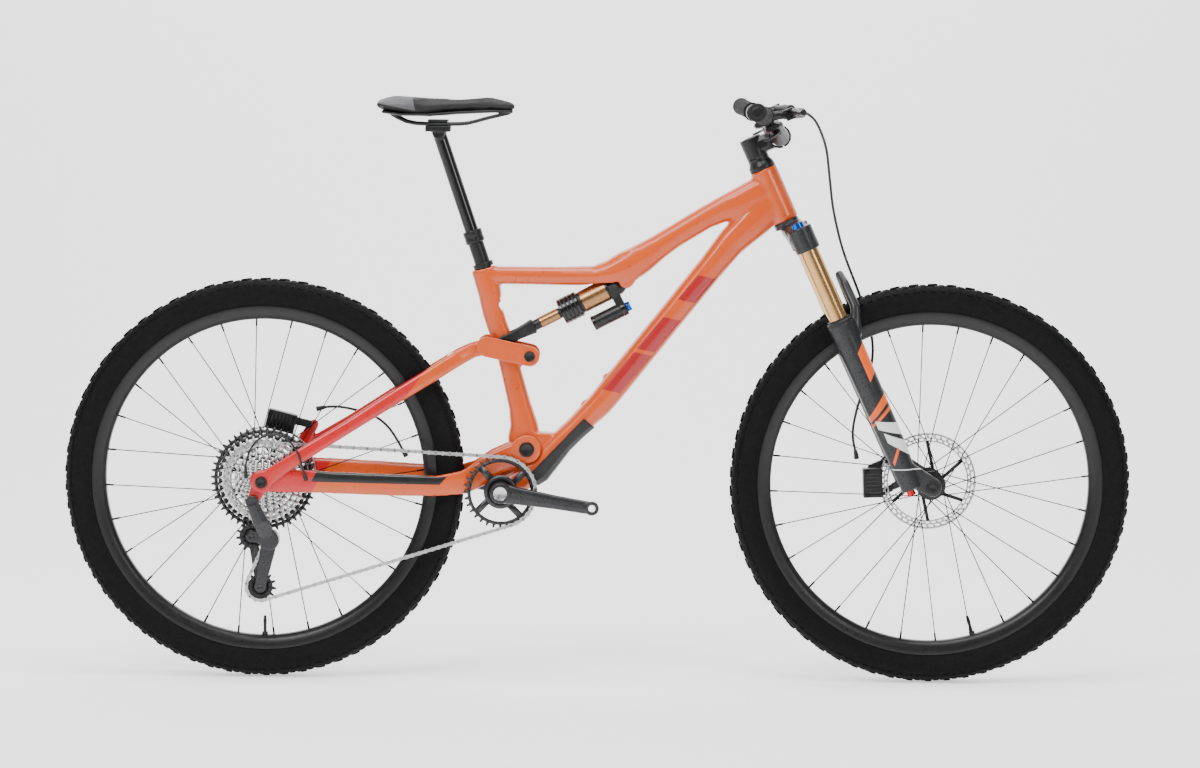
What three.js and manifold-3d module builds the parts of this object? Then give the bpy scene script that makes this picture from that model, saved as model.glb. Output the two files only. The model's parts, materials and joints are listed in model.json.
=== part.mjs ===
// Full-suspension trail bike. Millimetres, +X forward, +Y to the rider's left, +Z up.
// The origin is on the ground, halfway between the axles. The chain side is -Y.
import * as THREE from "three";
import { mergeVertices } from "three/addons/utils/BufferGeometryUtils.js";
import Module from "manifold-3d";

const wasm = await Module();
wasm.setup();

// Clearances
const gap = 0.3; // between pieces that touch
const turnGap = 0.8; // between pieces that turn or slide in each other

// Wheels
const tyreRadius = 370;
const tyreHeight = 52; // rim edge to tread
const tyreWidth = 60;
const tyreWall = 3;
const rimDepth = 24.5;
const rimWidth = 35;
const rimHook = 8.5; // depth of the tyre seat
const wheelSegments = 28;
const spokeCount = 28;
const spokeRadius = 1;
const rotorRadius = 90;
const rotorThickness = 1.8;
const frontHubWidth = 110;
const rearHubWidth = 148;
const frontAxleRadius = 7.5;
const rearAxleRadius = 6;
const frontRotorSide = 38.5;
const rearRotorSide = 58.8;

// Front end
const headAngle = 65.6;
const headLength = 103;
const headRadius = 25;
const forkRake = 48.4;
const forkTravel = 140;
const crownRoom = 183; // tyre to the lower end of the head tube, fork extended
const legSpacing = 130;
const legAhead = 14.7; // legs in front of the steering axis
const stanchionRadius = 18;
const stanchionOverlap = 110;
const legRadius = stanchionRadius + 5.5;
const archRoom = 48; // tyre to the middle of the arch
const steererRadius = 14.3;
const stemReach = 51;
const barWidth = 780;
const barRadius = 11.1;
const barClampRadius = 17.5;
const gripLength = 130;
const gripRadius = 16;

// Frame
const bottomBracketDrop = 18;
const headReach = 519; // bottom bracket to the lower end of the head tube
const yokeRoom = 66.5; // tyre to the bottom bracket axis
const shellRadius = 24;
const shellWidth = 73;
const pivotRadius = 8;
const postRadius = 12.5;
const postWall = 1.8;
const postTravel = 100;
const postLean = 18.8; // seat post from upright, in degrees
const postInsert = 45;

// Drive
const chainPitch = 12.7;
const chainHeight = 7.6;
const chainWidth = 4.8;
const ringTeeth = 32;
const ringSide = -49;
const cogTeeth = [10, 12, 14, 16, 18, 21, 24, 28, 34, 39, 43, 47];
const cogStep = 3.6;
const cogThickness = 1.8;
const firstCogSide = -70;
const gearInUse = 8; // place in cogTeeth
const pulleyTeeth = 13;
const crankLength = 170;
const crankTurn = 8.6; // right crank below level, in degrees
const spindleRadius = 12;

// Shock
const shockStroke = 50.6;
const shaftRadius = 10;
const canRadius = 20;
const collarRadius = 24;
const collarEnd = 134; // from the front eye

// Places that follow from the sizes above
const rad = THREE.MathUtils.degToRad;
const lean = rad(90 - headAngle);
const forkLength = tyreRadius + crownRoom;
const axleAhead = forkLength * Math.sin(lean) + forkRake * Math.cos(lean);
const axleBelow = forkLength * Math.cos(lean) - forkRake * Math.sin(lean);
const rearCentre = tyreRadius + yokeRoom;
const wheelbase = rearCentre + headReach + axleAhead;
const rearAxle = { x: -wheelbase / 2, z: tyreRadius };
const frontAxle = { x: wheelbase / 2, z: tyreRadius };
const bracket = { x: rearAxle.x + rearCentre, z: tyreRadius - bottomBracketDrop };
const headFoot = { x: frontAxle.x - axleAhead, z: tyreRadius + axleBelow };
const headTop = { x: headFoot.x - headLength * Math.sin(lean), z: headFoot.z + headLength * Math.cos(lean) };
const fromBracket = (x, z) => ({ x: bracket.x + x, z: bracket.z + z });
const swingPivot = fromBracket(47.1, 77.4);
const rockerPivot = fromBracket(51.2, 249.1);
const stayPivot = fromBracket(-11.7, 267.5);
const shockEye = fromBracket(227.6, 389.1);
const seatTop = fromBracket(-34.5, 410);
const chainSide = firstCogSide + gearInUse * cogStep;
const pitchRadius = (teeth) => chainPitch / 2 / Math.sin(Math.PI / teeth);
const outerPostRadius = postRadius + postWall;
const rimEdge = tyreRadius - tyreHeight;
const rimInner = rimEdge - rimDepth;
const spokeTop = rimInner * Math.cos(Math.PI / wheelSegments) - 1;

const finishes = {
  orange: { color: 0xd9531e, roughness: 0.25, metalness: 0.4 },
  red: { color: 0xb3141a, roughness: 0.25, metalness: 0.3 },
  black: { color: 0x1b1b1c, roughness: 0.5, metalness: 0.1 },
  darkMetal: { color: 0x2c2d2f, roughness: 0.4, metalness: 0.6 },
  silver: { color: 0xb9bbbd, roughness: 0.3, metalness: 0.9 },
  gold: { color: 0xb98d4e, roughness: 0.25, metalness: 0.8 },
  rubber: { color: 0x151515, roughness: 0.85, metalness: 0 },
  blue: { color: 0x1c62b8, roughness: 0.3, metalness: 0.7 },
};

const bike = new THREE.Group();

// ---- Shapes ----

// A closed geometry as a solid with its faces out.
function solidOf(geometry) {
  const loose = geometry.index ? geometry.toNonIndexed() : geometry;
  const bare = new THREE.BufferGeometry().setAttribute("position", loose.getAttribute("position"));
  const merged = mergeVertices(bare, 1e-4);
  const triangles = new Uint32Array(merged.index.array);
  const vertProperties = merged.attributes.position.array;
  const made = new wasm.Manifold(new wasm.Mesh({ numProp: 3, vertProperties, triVerts: triangles }));
  if (made.volume() > 0) return made;
  const turned = { numProp: 3, vertProperties, triVerts: triangles.reverse() };
  return new wasm.Manifold(new wasm.Mesh(turned));
}

function geometryOf(solid) {
  const mesh = solid.getMesh();
  const geometry = new THREE.BufferGeometry();
  geometry.setAttribute("position", new THREE.BufferAttribute(mesh.vertProperties, 3));
  geometry.setIndex(new THREE.BufferAttribute(mesh.triVerts, 1));
  return geometry;
}

const asSolid = (shape) => (shape.isBufferGeometry ? solidOf(shape) : shape);
const join = (...shapes) => shapes.map(asSolid).reduce((a, b) => a.add(b));
const cut = (shape, ...cutters) => cutters.map(asSolid).reduce((a, b) => a.subtract(b), asSolid(shape));

function addPiece(name, shape, finish, parent = bike) {
  const geometry = geometryOf(asSolid(shape).simplify(0.08));
  const mesh = new THREE.Mesh(geometry, new THREE.MeshStandardMaterial({ ...finish, flatShading: true }));
  mesh.name = name;
  parent.add(mesh);
  return mesh;
}

function addGroup(x, z, turnDegrees = 0, parent = bike) {
  const group = new THREE.Group();
  group.position.set(x, 0, z);
  group.rotation.y = rad(turnDegrees);
  parent.add(group);
  return group;
}

// A geometry of a turned group, in the bike's own frame.
function outOf(group, geometry) {
  group.updateWorldMatrix(true, false);
  return geometry.clone().applyMatrix4(group.matrixWorld);
}

// A round bar or cone between two points [x, y, z].
function bar(from, to, radius, sides = 12, endRadius = radius) {
  const start = new THREE.Vector3(...from);
  const way = new THREE.Vector3(...to).sub(start);
  const turn = new THREE.Quaternion().setFromUnitVectors(new THREE.Vector3(0, 1, 0), way.clone().normalize());
  const middle = way.clone().multiplyScalar(0.5).add(start);
  const cylinder = new THREE.CylinderGeometry(endRadius, radius, way.length(), sides);
  return cylinder.applyQuaternion(turn).translate(...middle);
}

// A round bar across the bike at a place {x, z}.
const crossBar = (place, from, to, radius, sides = 14) =>
  bar([place.x, from, place.z], [place.x, to, place.z], radius, sides);

// A short upright pin about a point.
const crossZ = ([x, y, z], halfHeight, radius) =>
  bar([x, y, z - halfHeight], [x, y, z + halfHeight], radius, 14);

const box = (x0, x1, y0, y1, z0, z1) =>
  new THREE.BoxGeometry(x1 - x0, y1 - y0, z1 - z0).translate((x0 + x1) / 2, (y0 + y1) / 2, (z0 + z1) / 2);

// A profile of [radius, along] turned about the Y axis.
const turned = (profile, segments = 24) =>
  new THREE.LatheGeometry(
    [...profile, profile[0]].map((p) => new THREE.Vector2(...p)),
    segments,
  );

// A flat outline in X and Z, as thick as from..to across the bike.
function plate(shape, from, to, curveSegments = 4) {
  const thick = new THREE.ExtrudeGeometry(shape, { depth: to - from, bevelEnabled: false, curveSegments });
  return thick.rotateX(Math.PI / 2).translate(0, to, 0);
}

// The same stretch across the bike on the right (-1) or on the left (1), lowest first.
const span = (s, from, to) => (s < 0 ? [-to, -from] : [from, to]);

// The outline of a link with two round ends.
function lobes(a, radiusA, b, radiusB) {
  const angle = Math.atan2(b.z - a.z, b.x - a.x);
  const spread = Math.acos((radiusA - radiusB) / Math.hypot(b.x - a.x, b.z - a.z));
  const shape = new THREE.Shape();
  shape.absarc(a.x, a.z, radiusA, angle + spread, angle - spread + 2 * Math.PI, false);
  shape.absarc(b.x, b.z, radiusB, angle - spread, angle + spread, false);
  return shape;
}

// A tube through stations {at: [x, y, z], width, height}: width lies along `across`, height beside it.
// Higher squareness gives flatter sides.
function loft(stations, { sides = 10, squareness = 2.6, across = [0, 1, 0] } = {}) {
  const centres = stations.map((s) => new THREE.Vector3(...s.at));
  const frames = centres.map((_, i) => {
    const next = centres[Math.min(i + 1, centres.length - 1)];
    const way = next.clone().sub(centres[Math.max(i - 1, 0)]).normalize();
    const side = new THREE.Vector3(...across);
    side.addScaledVector(way, -side.dot(way)).normalize();
    return { side, up: way.cross(side) };
  });
  const geometry = new THREE.CylinderGeometry(1, 1, 1, sides, stations.length - 1);
  const points = geometry.getAttribute("position");
  const bulge = (v) => Math.sign(v) * Math.abs(v) ** (2 / squareness);
  for (let i = 0; i < points.count; i += 1) {
    const n = Math.round((0.5 - points.getY(i)) * (stations.length - 1));
    const sideways = (bulge(points.getX(i)) * stations[n].width) / 2;
    const upwards = (bulge(points.getZ(i)) * stations[n].height) / 2;
    const place = centres[n].clone().addScaledVector(frames[n].side, sideways);
    place.addScaledVector(frames[n].up, upwards);
    points.setXYZ(i, ...place);
  }
  return geometry;
}

const mirrored = (stations) => stations.map((s) => ({ ...s, at: [s.at[0], -s.at[1], s.at[2]] }));

// A cord's tube along chosen points.
const cordSides = 8;
function cord(points, radius, steps) {
  const path = new THREE.CatmullRomCurve3(points.map((p) => new THREE.Vector3(...p)), false, "centripetal");
  const corner = (_, i) => {
    const angle = (i * 2 * Math.PI) / cordSides;
    return new THREE.Vector2(radius * Math.cos(angle), radius * Math.sin(angle));
  };
  const section = new THREE.Shape(Array.from({ length: cordSides }, corner));
  return new THREE.ExtrudeGeometry(section, { extrudePath: path, steps, bevelEnabled: false });
}

// ---- Wheels ----

// An open tyre: its section runs along the outside, then back along the inside.
function tyre() {
  const bead = rimEdge - rimHook + gap;
  const half = tyreWidth / 2;
  const seat = rimWidth / 2 - 3.4;
  const outside = [
    [bead, seat],
    [rimEdge + 1.5, rimWidth / 2 - 1],
    [rimEdge + tyreHeight * 0.38, half - 1],
    [tyreRadius - tyreHeight * 0.27, half],
    [tyreRadius, half * 0.5],
  ];
  const inside = [
    [tyreRadius - tyreWall * 2.2, half * 0.4],
    [rimEdge + tyreHeight * 0.4, half - 1 - tyreWall * 1.3],
    [bead, seat - tyreWall],
  ];
  const mirror = (list) => list.map(([radius, y]) => [radius, -y]).reverse();
  return turned([...outside, ...mirror(outside), ...mirror(inside), ...inside], wheelSegments);
}

function rim() {
  const half = rimWidth / 2;
  const seat = rimEdge - rimHook;
  const side = [
    [rimInner, 6],
    [rimInner + 9, half - 2],
    [rimEdge, half],
    [seat, half - 3],
  ];
  const other = side.map(([r, y]) => [r, -y]).reverse();
  return turned([...side, ...other], wheelSegments);
}

// A hub shell with its flanges, and the spokes that leave them in crossed pairs.
function hubAndSpokes(profile, flanges, flangeRadius) {
  const parts = [turned(profile, 12)];
  const crossing = rad(52);
  for (let i = 0; i < spokeCount; i += 1) {
    const leads = Math.floor(i / 2) % 2 ? 1 : -1;
    const side = flanges[i % 2] + leads * 0.9;
    const end = ((i + 0.25) * 2 * Math.PI) / spokeCount;
    const start = end + leads * crossing;
    const hubEnd = [(flangeRadius - 2) * Math.cos(start), side, (flangeRadius - 2) * Math.sin(start)];
    const rimEnd = [spokeTop * Math.cos(end), side * 0.06, spokeTop * Math.sin(end)];
    parts.push(bar(hubEnd, rimEnd, spokeRadius, 3));
  }
  return wasm.Manifold.union(parts.map(solidOf));
}

// A window between two radii and two angles.
function sector(inner, outer, from, to, steps) {
  const arc = (radius, start, end) =>
    Array.from({ length: steps + 1 }, (_, i) => {
      const angle = start + ((end - start) * i) / steps;
      return new THREE.Vector2(radius * Math.cos(angle), radius * Math.sin(angle));
    });
  return new THREE.Path([...arc(outer, from, to), ...arc(inner, to, from)]);
}

// A flat ring about the Y axis with equal windows.
function windowedRing({ radius, bore, from, to, windows, inner, outer, web, slant = 0 }) {
  const shape = new THREE.Shape();
  shape.absarc(0, 0, radius, 0, 2 * Math.PI, false);
  shape.holes.push(new THREE.Path().absarc(0, 0, bore, 0, 2 * Math.PI, true));
  const pitch = (2 * Math.PI) / windows;
  for (let i = 0; i < windows; i += 1) {
    shape.holes.push(sector(inner, outer, i * pitch + web, (i + 1) * pitch - web + slant, 3));
  }
  return plate(shape, from, to, 16);
}

const rotor = (side, hubRadius) =>
  windowedRing({
    radius: rotorRadius,
    bore: hubRadius + gap,
    from: side - rotorThickness / 2,
    to: side + rotorThickness / 2,
    windows: 6,
    inner: hubRadius + 9,
    outer: rotorRadius - 15,
    web: 0.1,
  });

const frontWheel = addGroup(frontAxle.x, frontAxle.z);
const rearWheel = addGroup(rearAxle.x, rearAxle.z);

const frontEnd = frontHubWidth / 2 - gap;
const frontBore = frontAxleRadius + turnGap;
const frontHubProfile = [
  [frontBore, -frontEnd],
  [frontBore + 3, -frontEnd],
  [frontBore + 3, -42],
  [16, -41],
  [24, -39.5],
  [24, -36],
  [15, -32],
  [15, 20],
  [24, 23],
  [24, 26.5],
  [16, 28],
  [16, frontRotorSide + 3],
  [frontBore + 3, frontRotorSide + 4],
  [frontBore + 3, frontEnd],
  [frontBore, frontEnd],
];
const rearEnd = rearHubWidth / 2 - gap;
const rearBore = rearAxleRadius + turnGap;
const freehubRadius = rearBore + 3.2;
const rearHubProfile = [
  [rearBore, -rearEnd],
  [freehubRadius, -rearEnd],
  [freehubRadius, -28.5],
  [19, -28],
  [30, -26.5],
  [30, -23],
  [18, -19],
  [18, 40],
  [30, 43],
  [30, 46.5],
  [17, 48.5],
  [17, rearRotorSide + 3],
  [freehubRadius, rearRotorSide + 4],
  [freehubRadius, rearEnd],
  [rearBore, rearEnd],
];

addPiece("front_tyre", tyre(), finishes.rubber, frontWheel);
addPiece("front_rim", rim(), finishes.black, frontWheel);
addPiece("front_hub_spokes", hubAndSpokes(frontHubProfile, [-38, 25], 24), finishes.black, frontWheel);
addPiece("front_rotor", rotor(frontRotorSide, 16), finishes.silver, frontWheel);
addPiece("rear_tyre", tyre(), finishes.rubber, rearWheel);
addPiece("rear_rim", rim(), finishes.black, rearWheel);
addPiece("rear_hub_spokes", hubAndSpokes(rearHubProfile, [-25, 45], 30), finishes.black, rearWheel);
addPiece("rear_rotor", rotor(rearRotorSide, 17), finishes.silver, rearWheel);

// ---- Fork and cockpit, in a frame whose Z is the steering axis ----
// The origin is the foot of the head tube.

const front = addGroup(headFoot.x, headFoot.z, headAngle - 90);
const legSide = legSpacing / 2;
const sides = { right: -1, left: 1 };
const shoulderRadius = stanchionRadius + 5;
const shoulderTop = -19;
const shoulderFoot = -63;
const legTop = shoulderFoot - forkTravel - 6;
const stanchionFoot = legTop - stanchionOverlap;
const axleLocal = { x: forkRake, z: -forkLength };
const legFoot = axleLocal.z + 12;
const steererTop = headLength + 63;
const stemFoot = headLength + 24;
const barHeight = stemFoot + 19;
const caliperPosts = [legFoot + 2, legFoot + 52];
const caliperFace = -16;

function crown() {
  const bridge = loft(
    [-1, -0.55, 0, 0.55, 1].map((t) => ({
      at: [6 + 6 * Math.abs(t), t * legSide, -18 - 22 * t * t],
      width: 44,
      height: 31 + 8 * t * t,
    })),
    { across: [1, 0, 0], squareness: 3 },
  );
  const shoulders = Object.values(sides).map((s) =>
    bar([legAhead, s * legSide, shoulderFoot], [legAhead, s * legSide, shoulderTop], shoulderRadius, 20));
  const steerer = bar([0, 0, -20], [0, 0, steererTop], steererRadius, 20);
  const race = bar([0, 0, -12], [0, 0, -gap], headRadius - 1);
  const dialSeat = bar([legAhead, -legSide, shoulderTop], [legAhead, -legSide, shoulderTop + 30], 13, 16);
  const sockets = Object.values(sides).map((s) => {
    const mouth = [legAhead, s * legSide, shoulderFoot - 1];
    return bar(mouth, [legAhead, s * legSide, shoulderTop - 4], stanchionRadius + gap, 20);
  });
  return cut(join(bridge, ...shoulders, steerer, race), ...sockets, dialSeat);
}

// One leg of the lowers, with its dropout and its bore for the stanchion.
function forkLeg(s) {
  const leg = loft(
    [
      { at: [legAhead, s * legSide, legTop], width: 2 * legRadius + 4, height: 2 * legRadius + 4 },
      { at: [legAhead, s * legSide, legTop - 14], width: 2 * legRadius + 2, height: 2 * legRadius + 2 },
      { at: [legAhead, s * legSide, legTop - 90], width: 2 * legRadius, height: 2 * legRadius },
      { at: [legAhead, s * legSide, legFoot + 90], width: 2 * legRadius - 3, height: 2 * legRadius - 3 },
      { at: [legAhead - 2, s * legSide, legFoot], width: 2 * legRadius - 9, height: 2 * legRadius - 9 },
    ],
    { sides: 16, squareness: 2 },
  );
  const dropoutOutline = lobes({ x: legAhead, z: legFoot + 34 }, 20, axleLocal, 17);
  const dropout = plate(dropoutOutline, ...span(s, frontHubWidth / 2 + gap, 74));
  return join(leg, dropout);
}

function forkLowers() {
  const archTop = axleLocal.z + tyreRadius + archRoom;
  const base = legTop - 32;
  const half = [
    { at: [32, legSide - 3, base], width: 22, height: 22 },
    { at: [52, legSide - 13, base + (archTop - base) * 0.45], width: 18, height: 18 },
    { at: [52, legSide * 0.46, archTop - 13], width: 17, height: 18 },
    { at: [51, 0, archTop], width: 16, height: 22 },
  ];
  const arch = loft([...half, ...mirrored(half.slice(0, -1)).reverse()], { across: [1, 0, 0], sides: 12 });
  const bores = Object.values(sides).map((s) =>
    bar([legAhead, s * legSide, legTop + 80], [legAhead, s * legSide, stanchionFoot - forkTravel - 8],
      stanchionRadius + turnGap, 20));
  const axleBore = crossBar(axleLocal, -80, 80, frontAxleRadius + gap);
  const mounts = caliperPosts.map((z) => bar([legAhead, legSide - 8, z], [caliperFace, legSide - 8, z], 7, 10));
  const dialSeat = bar([legAhead - 6, -legSide, legFoot], [legAhead - 6, -legSide, legFoot - 30], 9);
  return cut(join(forkLeg(-1), forkLeg(1), arch, ...mounts), ...bores, axleBore, dialSeat);
}

// A caliper that straddles a rotor at an angle about its axle. Its ear reaches along the rotor's edge.
function caliper(axle, rotorSide, angle, from, to, ear = [-27, 27]) {
  const middle = rotorRadius + 12;
  const block = box(middle - 18, middle + 18, from, to, -27, 27);
  const tab = box(middle, middle + 14, to - 14, to, ...ear);
  const slot = box(middle - 19, rotorRadius + 3, rotorSide - 2.6, rotorSide + 2.6, -40, 40);
  return geometryOf(cut(join(block, tab), slot)).rotateY(-rad(angle)).translate(axle.x, 0, axle.z);
}

addPiece("fork_crown", crown(), finishes.darkMetal, front);
for (const [name, s] of Object.entries(sides)) {
  const stanchion = bar([legAhead, s * legSide, stanchionFoot], [legAhead, s * legSide, shoulderTop - 4 - gap],
    stanchionRadius, 20);
  addPiece("stanchion_" + name, stanchion, finishes.gold, front);
}
addPiece("fork_lowers", forkLowers(), finishes.darkMetal, front);
const axleHead = crossBar(axleLocal, -78, -74 - gap, frontAxleRadius + 4);
addPiece("front_axle", join(crossBar(axleLocal, -76, 74, frontAxleRadius), axleHead), finishes.black, front);
const frontCaliper = join(
  caliper(axleLocal, frontRotorSide, 158, frontRotorSide - 12, frontRotorSide + 18),
  ...caliperPosts.map((z) => box(-42, caliperFace - gap, legSide - 15, legSide - 2, z - 7, z + 5)),
);
addPiece("front_caliper", frontCaliper, finishes.black, front);

const dialFoot = shoulderTop + gap;
const compressionDial = bar([legAhead, -legSide, dialFoot], [legAhead, -legSide, dialFoot + 10], 12, 16, 10);
addPiece("compression_dial", compressionDial, finishes.blue, front);
const reboundAhead = legAhead - 6;
const reboundAt = (z) => [reboundAhead, -legSide, z];
const reboundDial = bar(reboundAt(legFoot - gap), reboundAt(legFoot - 10), 8, 12, 7);
addPiece("rebound_dial", reboundDial, finishes.red, front);

// Headset cover, stem and bar
const coverProfile = [
  [steererRadius + gap, headLength + gap],
  [headRadius - 0.5, headLength + gap],
  [headRadius - 1, headLength + 8],
  [20, headLength + 16],
  [20, stemFoot - gap],
  [steererRadius + gap, stemFoot - gap],
];
addPiece("headset_cover", turned(coverProfile).rotateX(Math.PI / 2), finishes.black, front);

const barCentre = { x: stemReach, z: barHeight };
const clampWidth = 52;
const clampRadius = barClampRadius + 4;
const barBore = crossBar(barCentre, -60, 60, barClampRadius + 2 * gap, 16);

function stem() {
  const sleeve = bar([0, 0, stemFoot], [0, 0, stemFoot + 38], steererRadius + 5.7, 20);
  const body = loft([
    { at: [4, 0, stemFoot + 19], width: 38, height: 36 },
    { at: [stemReach * 0.5, 0, barHeight], width: 33, height: 33 },
    { at: [stemReach - 4, 0, barHeight], width: 46, height: 37 },
  ]);
  const clamp = crossBar(barCentre, -clampWidth / 2, clampWidth / 2, clampRadius);
  const frontHalf = box(stemReach - 1, stemReach + 40, -60, 60, barHeight - 40, barHeight + 40);
  const steererBore = bar([0, 0, 0], [0, 0, stemFoot + 60], steererRadius + gap, 16);
  return cut(join(sleeve, body, clamp), frontHalf, steererBore, barBore);
}

function faceplate() {
  const clamp = crossBar(barCentre, -clampWidth / 2, clampWidth / 2, clampRadius);
  const backHalf = box(stemReach - 40, stemReach + 1, -60, 60, barHeight - 40, barHeight + 40);
  return cut(clamp, backHalf, barBore);
}

const barHalf = barWidth / 2;
const barTip = { at: [20, barHalf, barHeight + 68], radius: barRadius };
const barBend = { at: [38, barHalf - 190, barHeight + 46], radius: barRadius };
const barPath = [
  { at: [stemReach, 0, barHeight], radius: barClampRadius },
  { at: [stemReach, 42, barHeight], radius: barClampRadius },
  { at: [49, 84, barHeight + 16], radius: 13.5 },
  { at: [44, 132, barHeight + 37], radius: 11.8 },
  barBend,
  barTip,
].map(({ at, radius }) => ({ at, width: 2 * radius, height: 2 * radius }));

// A point of the straight outer stretch of the bar, at a distance y from the middle.
function onBar(y) {
  const t = (y - barBend.at[1]) / (barTip.at[1] - barBend.at[1]);
  return barBend.at.map((v, i) => (i === 1 ? y : v + t * (barTip.at[i] - v)));
}
const barPoint = (s, y) => onBar(y).map((v, i) => (i === 1 ? s * v : v));

addPiece("stem", stem(), finishes.black, front);
addPiece("stem_faceplate", faceplate(), finishes.black, front);
const wholeBar = [...mirrored(barPath.slice(1)).reverse(), ...barPath];
addPiece("handlebar", loft(wholeBar, { across: [1, 0, 0], squareness: 2 }), finishes.black, front);

// A sleeve around the straight outer stretch of the bar.
function barSleeve(s, from, to, radius) {
  const bore = bar(barPoint(s, from - 20), barPoint(s, to + 20), barRadius + gap + 0.3, 12);
  return cut(bar(barPoint(s, from), barPoint(s, to), radius), bore);
}

const gripFoot = barHalf - gripLength;
const leverClamp = gripFoot - 22;
const remoteClamp = leverClamp - 24;
const leverPivot = [76, leverClamp + 14, barHeight + 38];

for (const [name, s] of Object.entries(sides)) {
  const by = (x, y, z) => [x, s * y, z];
  const grip = cut(bar(barPoint(s, gripFoot), barPoint(s, barHalf - 2), gripRadius),
    bar(barPoint(s, gripFoot - 20), barPoint(s, barHalf + 20), barRadius + gap + 0.3, 12));
  addPiece("grip_" + name, grip, finishes.rubber, front);

  const [pivotX, pivotY, pivotZ] = leverPivot;
  const cylinder = bar(by(99, leverClamp - 50, pivotZ - 9), by(70, leverClamp + 6, pivotZ + 2), 9.5, 12);
  const neck = bar(barPoint(s, leverClamp), by(76, leverClamp - 8, pivotZ), 8, 10);
  const yoke = bar(by(66, leverClamp, pivotZ + 2), by(pivotX, pivotY - 4, pivotZ), 8, 10);
  const inner = Math.min(s * (pivotY - 5.5), s * (pivotY + 20));
  const pocket = box(pivotX - 14, pivotX + 25, inner, inner + 25.5, pivotZ - 6.8, pivotZ + 6.8);
  const ears = crossZ(by(pivotX, pivotY, pivotZ), 10, 9.5);
  const barClear = bar(barPoint(s, leverClamp - 60), barPoint(s, leverClamp + 60), barRadius + gap + 0.3, 12);
  const clamp = bar(barPoint(s, leverClamp - 8), barPoint(s, leverClamp + 8), barRadius + 5);
  const brakeBody = cut(join(cylinder, neck, yoke, ears, clamp), pocket, barClear);
  addPiece("brake_body_" + name, brakeBody, finishes.black, front);

  const blade = join(
    crossZ(by(pivotX, pivotY, pivotZ), 6, 4.6),
    bar(by(pivotX, pivotY, pivotZ), by(pivotX + 14, pivotY + 26, pivotZ - 2), 4.6, 10),
    bar(by(pivotX + 14, pivotY + 26, pivotZ - 2), by(pivotX + 15, pivotY + 62, pivotZ - 3), 4.8, 10),
    bar(by(pivotX + 15, pivotY + 62, pivotZ - 3), by(pivotX + 20, pivotY + 88, pivotZ - 4), 4.8, 10, 5.5),
  );
  addPiece("brake_lever_" + name, blade, finishes.black, front);

  const [remoteX, , remoteZ] = onBar(remoteClamp);
  const band = bar(barPoint(s, remoteClamp - 6), barPoint(s, remoteClamp + 6), barRadius + 4.5);
  const remote = loft([
    { at: by(remoteX + 2, remoteClamp - 14, remoteZ - 20), width: 30, height: 12 },
    { at: by(remoteX + 4, remoteClamp + 4, remoteZ - 21), width: 38, height: 16 },
    { at: by(remoteX + 2, remoteClamp + 20, remoteZ - 20), width: 26, height: 10 },
  ], { across: [1, 0, 0], sides: 12 });
  const remoteBody = cut(join(band, remote), bar(barPoint(s, remoteClamp - 50), barPoint(s, remoteClamp + 50),
    barRadius + gap + 0.3, 12));
  addPiece(s < 0 ? "shifter_body" : "dropper_remote", remoteBody, finishes.black, front);
  const paddleZ = remoteZ - 34;
  const paddle = join(
    crossZ(by(remoteX + 6, remoteClamp, paddleZ + 1), 4, 8),
    loft([
      { at: by(remoteX + 6, remoteClamp + 2, paddleZ + 1), width: 16, height: 4.5 },
      { at: by(remoteX - 2, remoteClamp + 24, paddleZ), width: 13, height: 4.5 },
      { at: by(remoteX - 16, remoteClamp + 40, paddleZ - 1), width: 18, height: 5 },
    ], { across: [1, 0, 0], sides: 10 }),
  );
  addPiece(s < 0 ? "shift_lever" : "dropper_lever", paddle, finishes.darkMetal, front);
}

// ---- Seat post and saddle ----

const post = addGroup(seatTop.x, seatTop.z, -postLean);
const collarFoot = 48;
const collarTop = 72;
const postTop = 262; // seat tube to saddle clamp
const postFoot = 20; // lower end of the inner tube, over the seat tube's mouth
const outerProfile = [
  [postRadius + turnGap, -postInsert],
  [outerPostRadius, -postInsert],
  [outerPostRadius, collarFoot],
  [outerPostRadius + 3.4, collarFoot + 2],
  [outerPostRadius + 3.4, collarTop - 2],
  [outerPostRadius + 1, collarTop],
  [postRadius + turnGap, collarTop],
];
addPiece("post_outer", turned(outerProfile, 24).rotateX(Math.PI / 2), finishes.black, post);

const clampRing = [
  [outerPostRadius + gap, gap],
  [outerPostRadius + 4.5, gap],
  [outerPostRadius + 4.5, 9],
  [outerPostRadius + gap, 9],
];
addPiece("seat_clamp", turned(clampRing, 24).rotateX(Math.PI / 2), finishes.black, post);

const postWay = { x: -Math.sin(rad(postLean)), z: Math.cos(rad(postLean)) };
const saddle = addGroup(seatTop.x + postTop * postWay.x, seatTop.z + postTop * postWay.z);
const railSide = 22;
const railRadius = 3.5;
const railHeight = 15;

// Inner tube with the cradle that grips the rails. The origin is the top of the tube.
function postInner() {
  const along = (d) => [-d * postWay.x, 0, -d * postWay.z];
  const tube = bar(along(postTop - postFoot), along(0), postRadius, 20);
  const head = crossBar({ x: 0, z: -1 }, -15, 15, 12, 14);
  const cradle = box(-24, 22, -27, 27, 1, railHeight - railRadius - gap);
  const core = box(-14, 12, -14, 14, 0, railHeight + 8);
  const top = box(-20, 18, -26, 26, railHeight + railRadius + gap, railHeight + 8);
  return join(tube, head, cradle, core, top);
}
addPiece("post_inner", postInner(), finishes.black, saddle);

// Saddle sections from the nose to the tail: distance from the clamp, middle height, thickness, width.
const saddleLength = 264;
const saddleWidth = 140;
const saddleNose = 146;
const saddleSections = [
  [0, 45, 9, 0.14],
  [0.04, 47, 15, 0.25],
  [0.17, 49, 17, 0.29],
  [0.42, 46, 18, 0.36],
  [0.62, 43, 20, 0.62],
  [0.8, 44, 21, 0.94],
  [0.94, 47, 18, 1],
  [1, 49, 9, 0.78],
];
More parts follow.
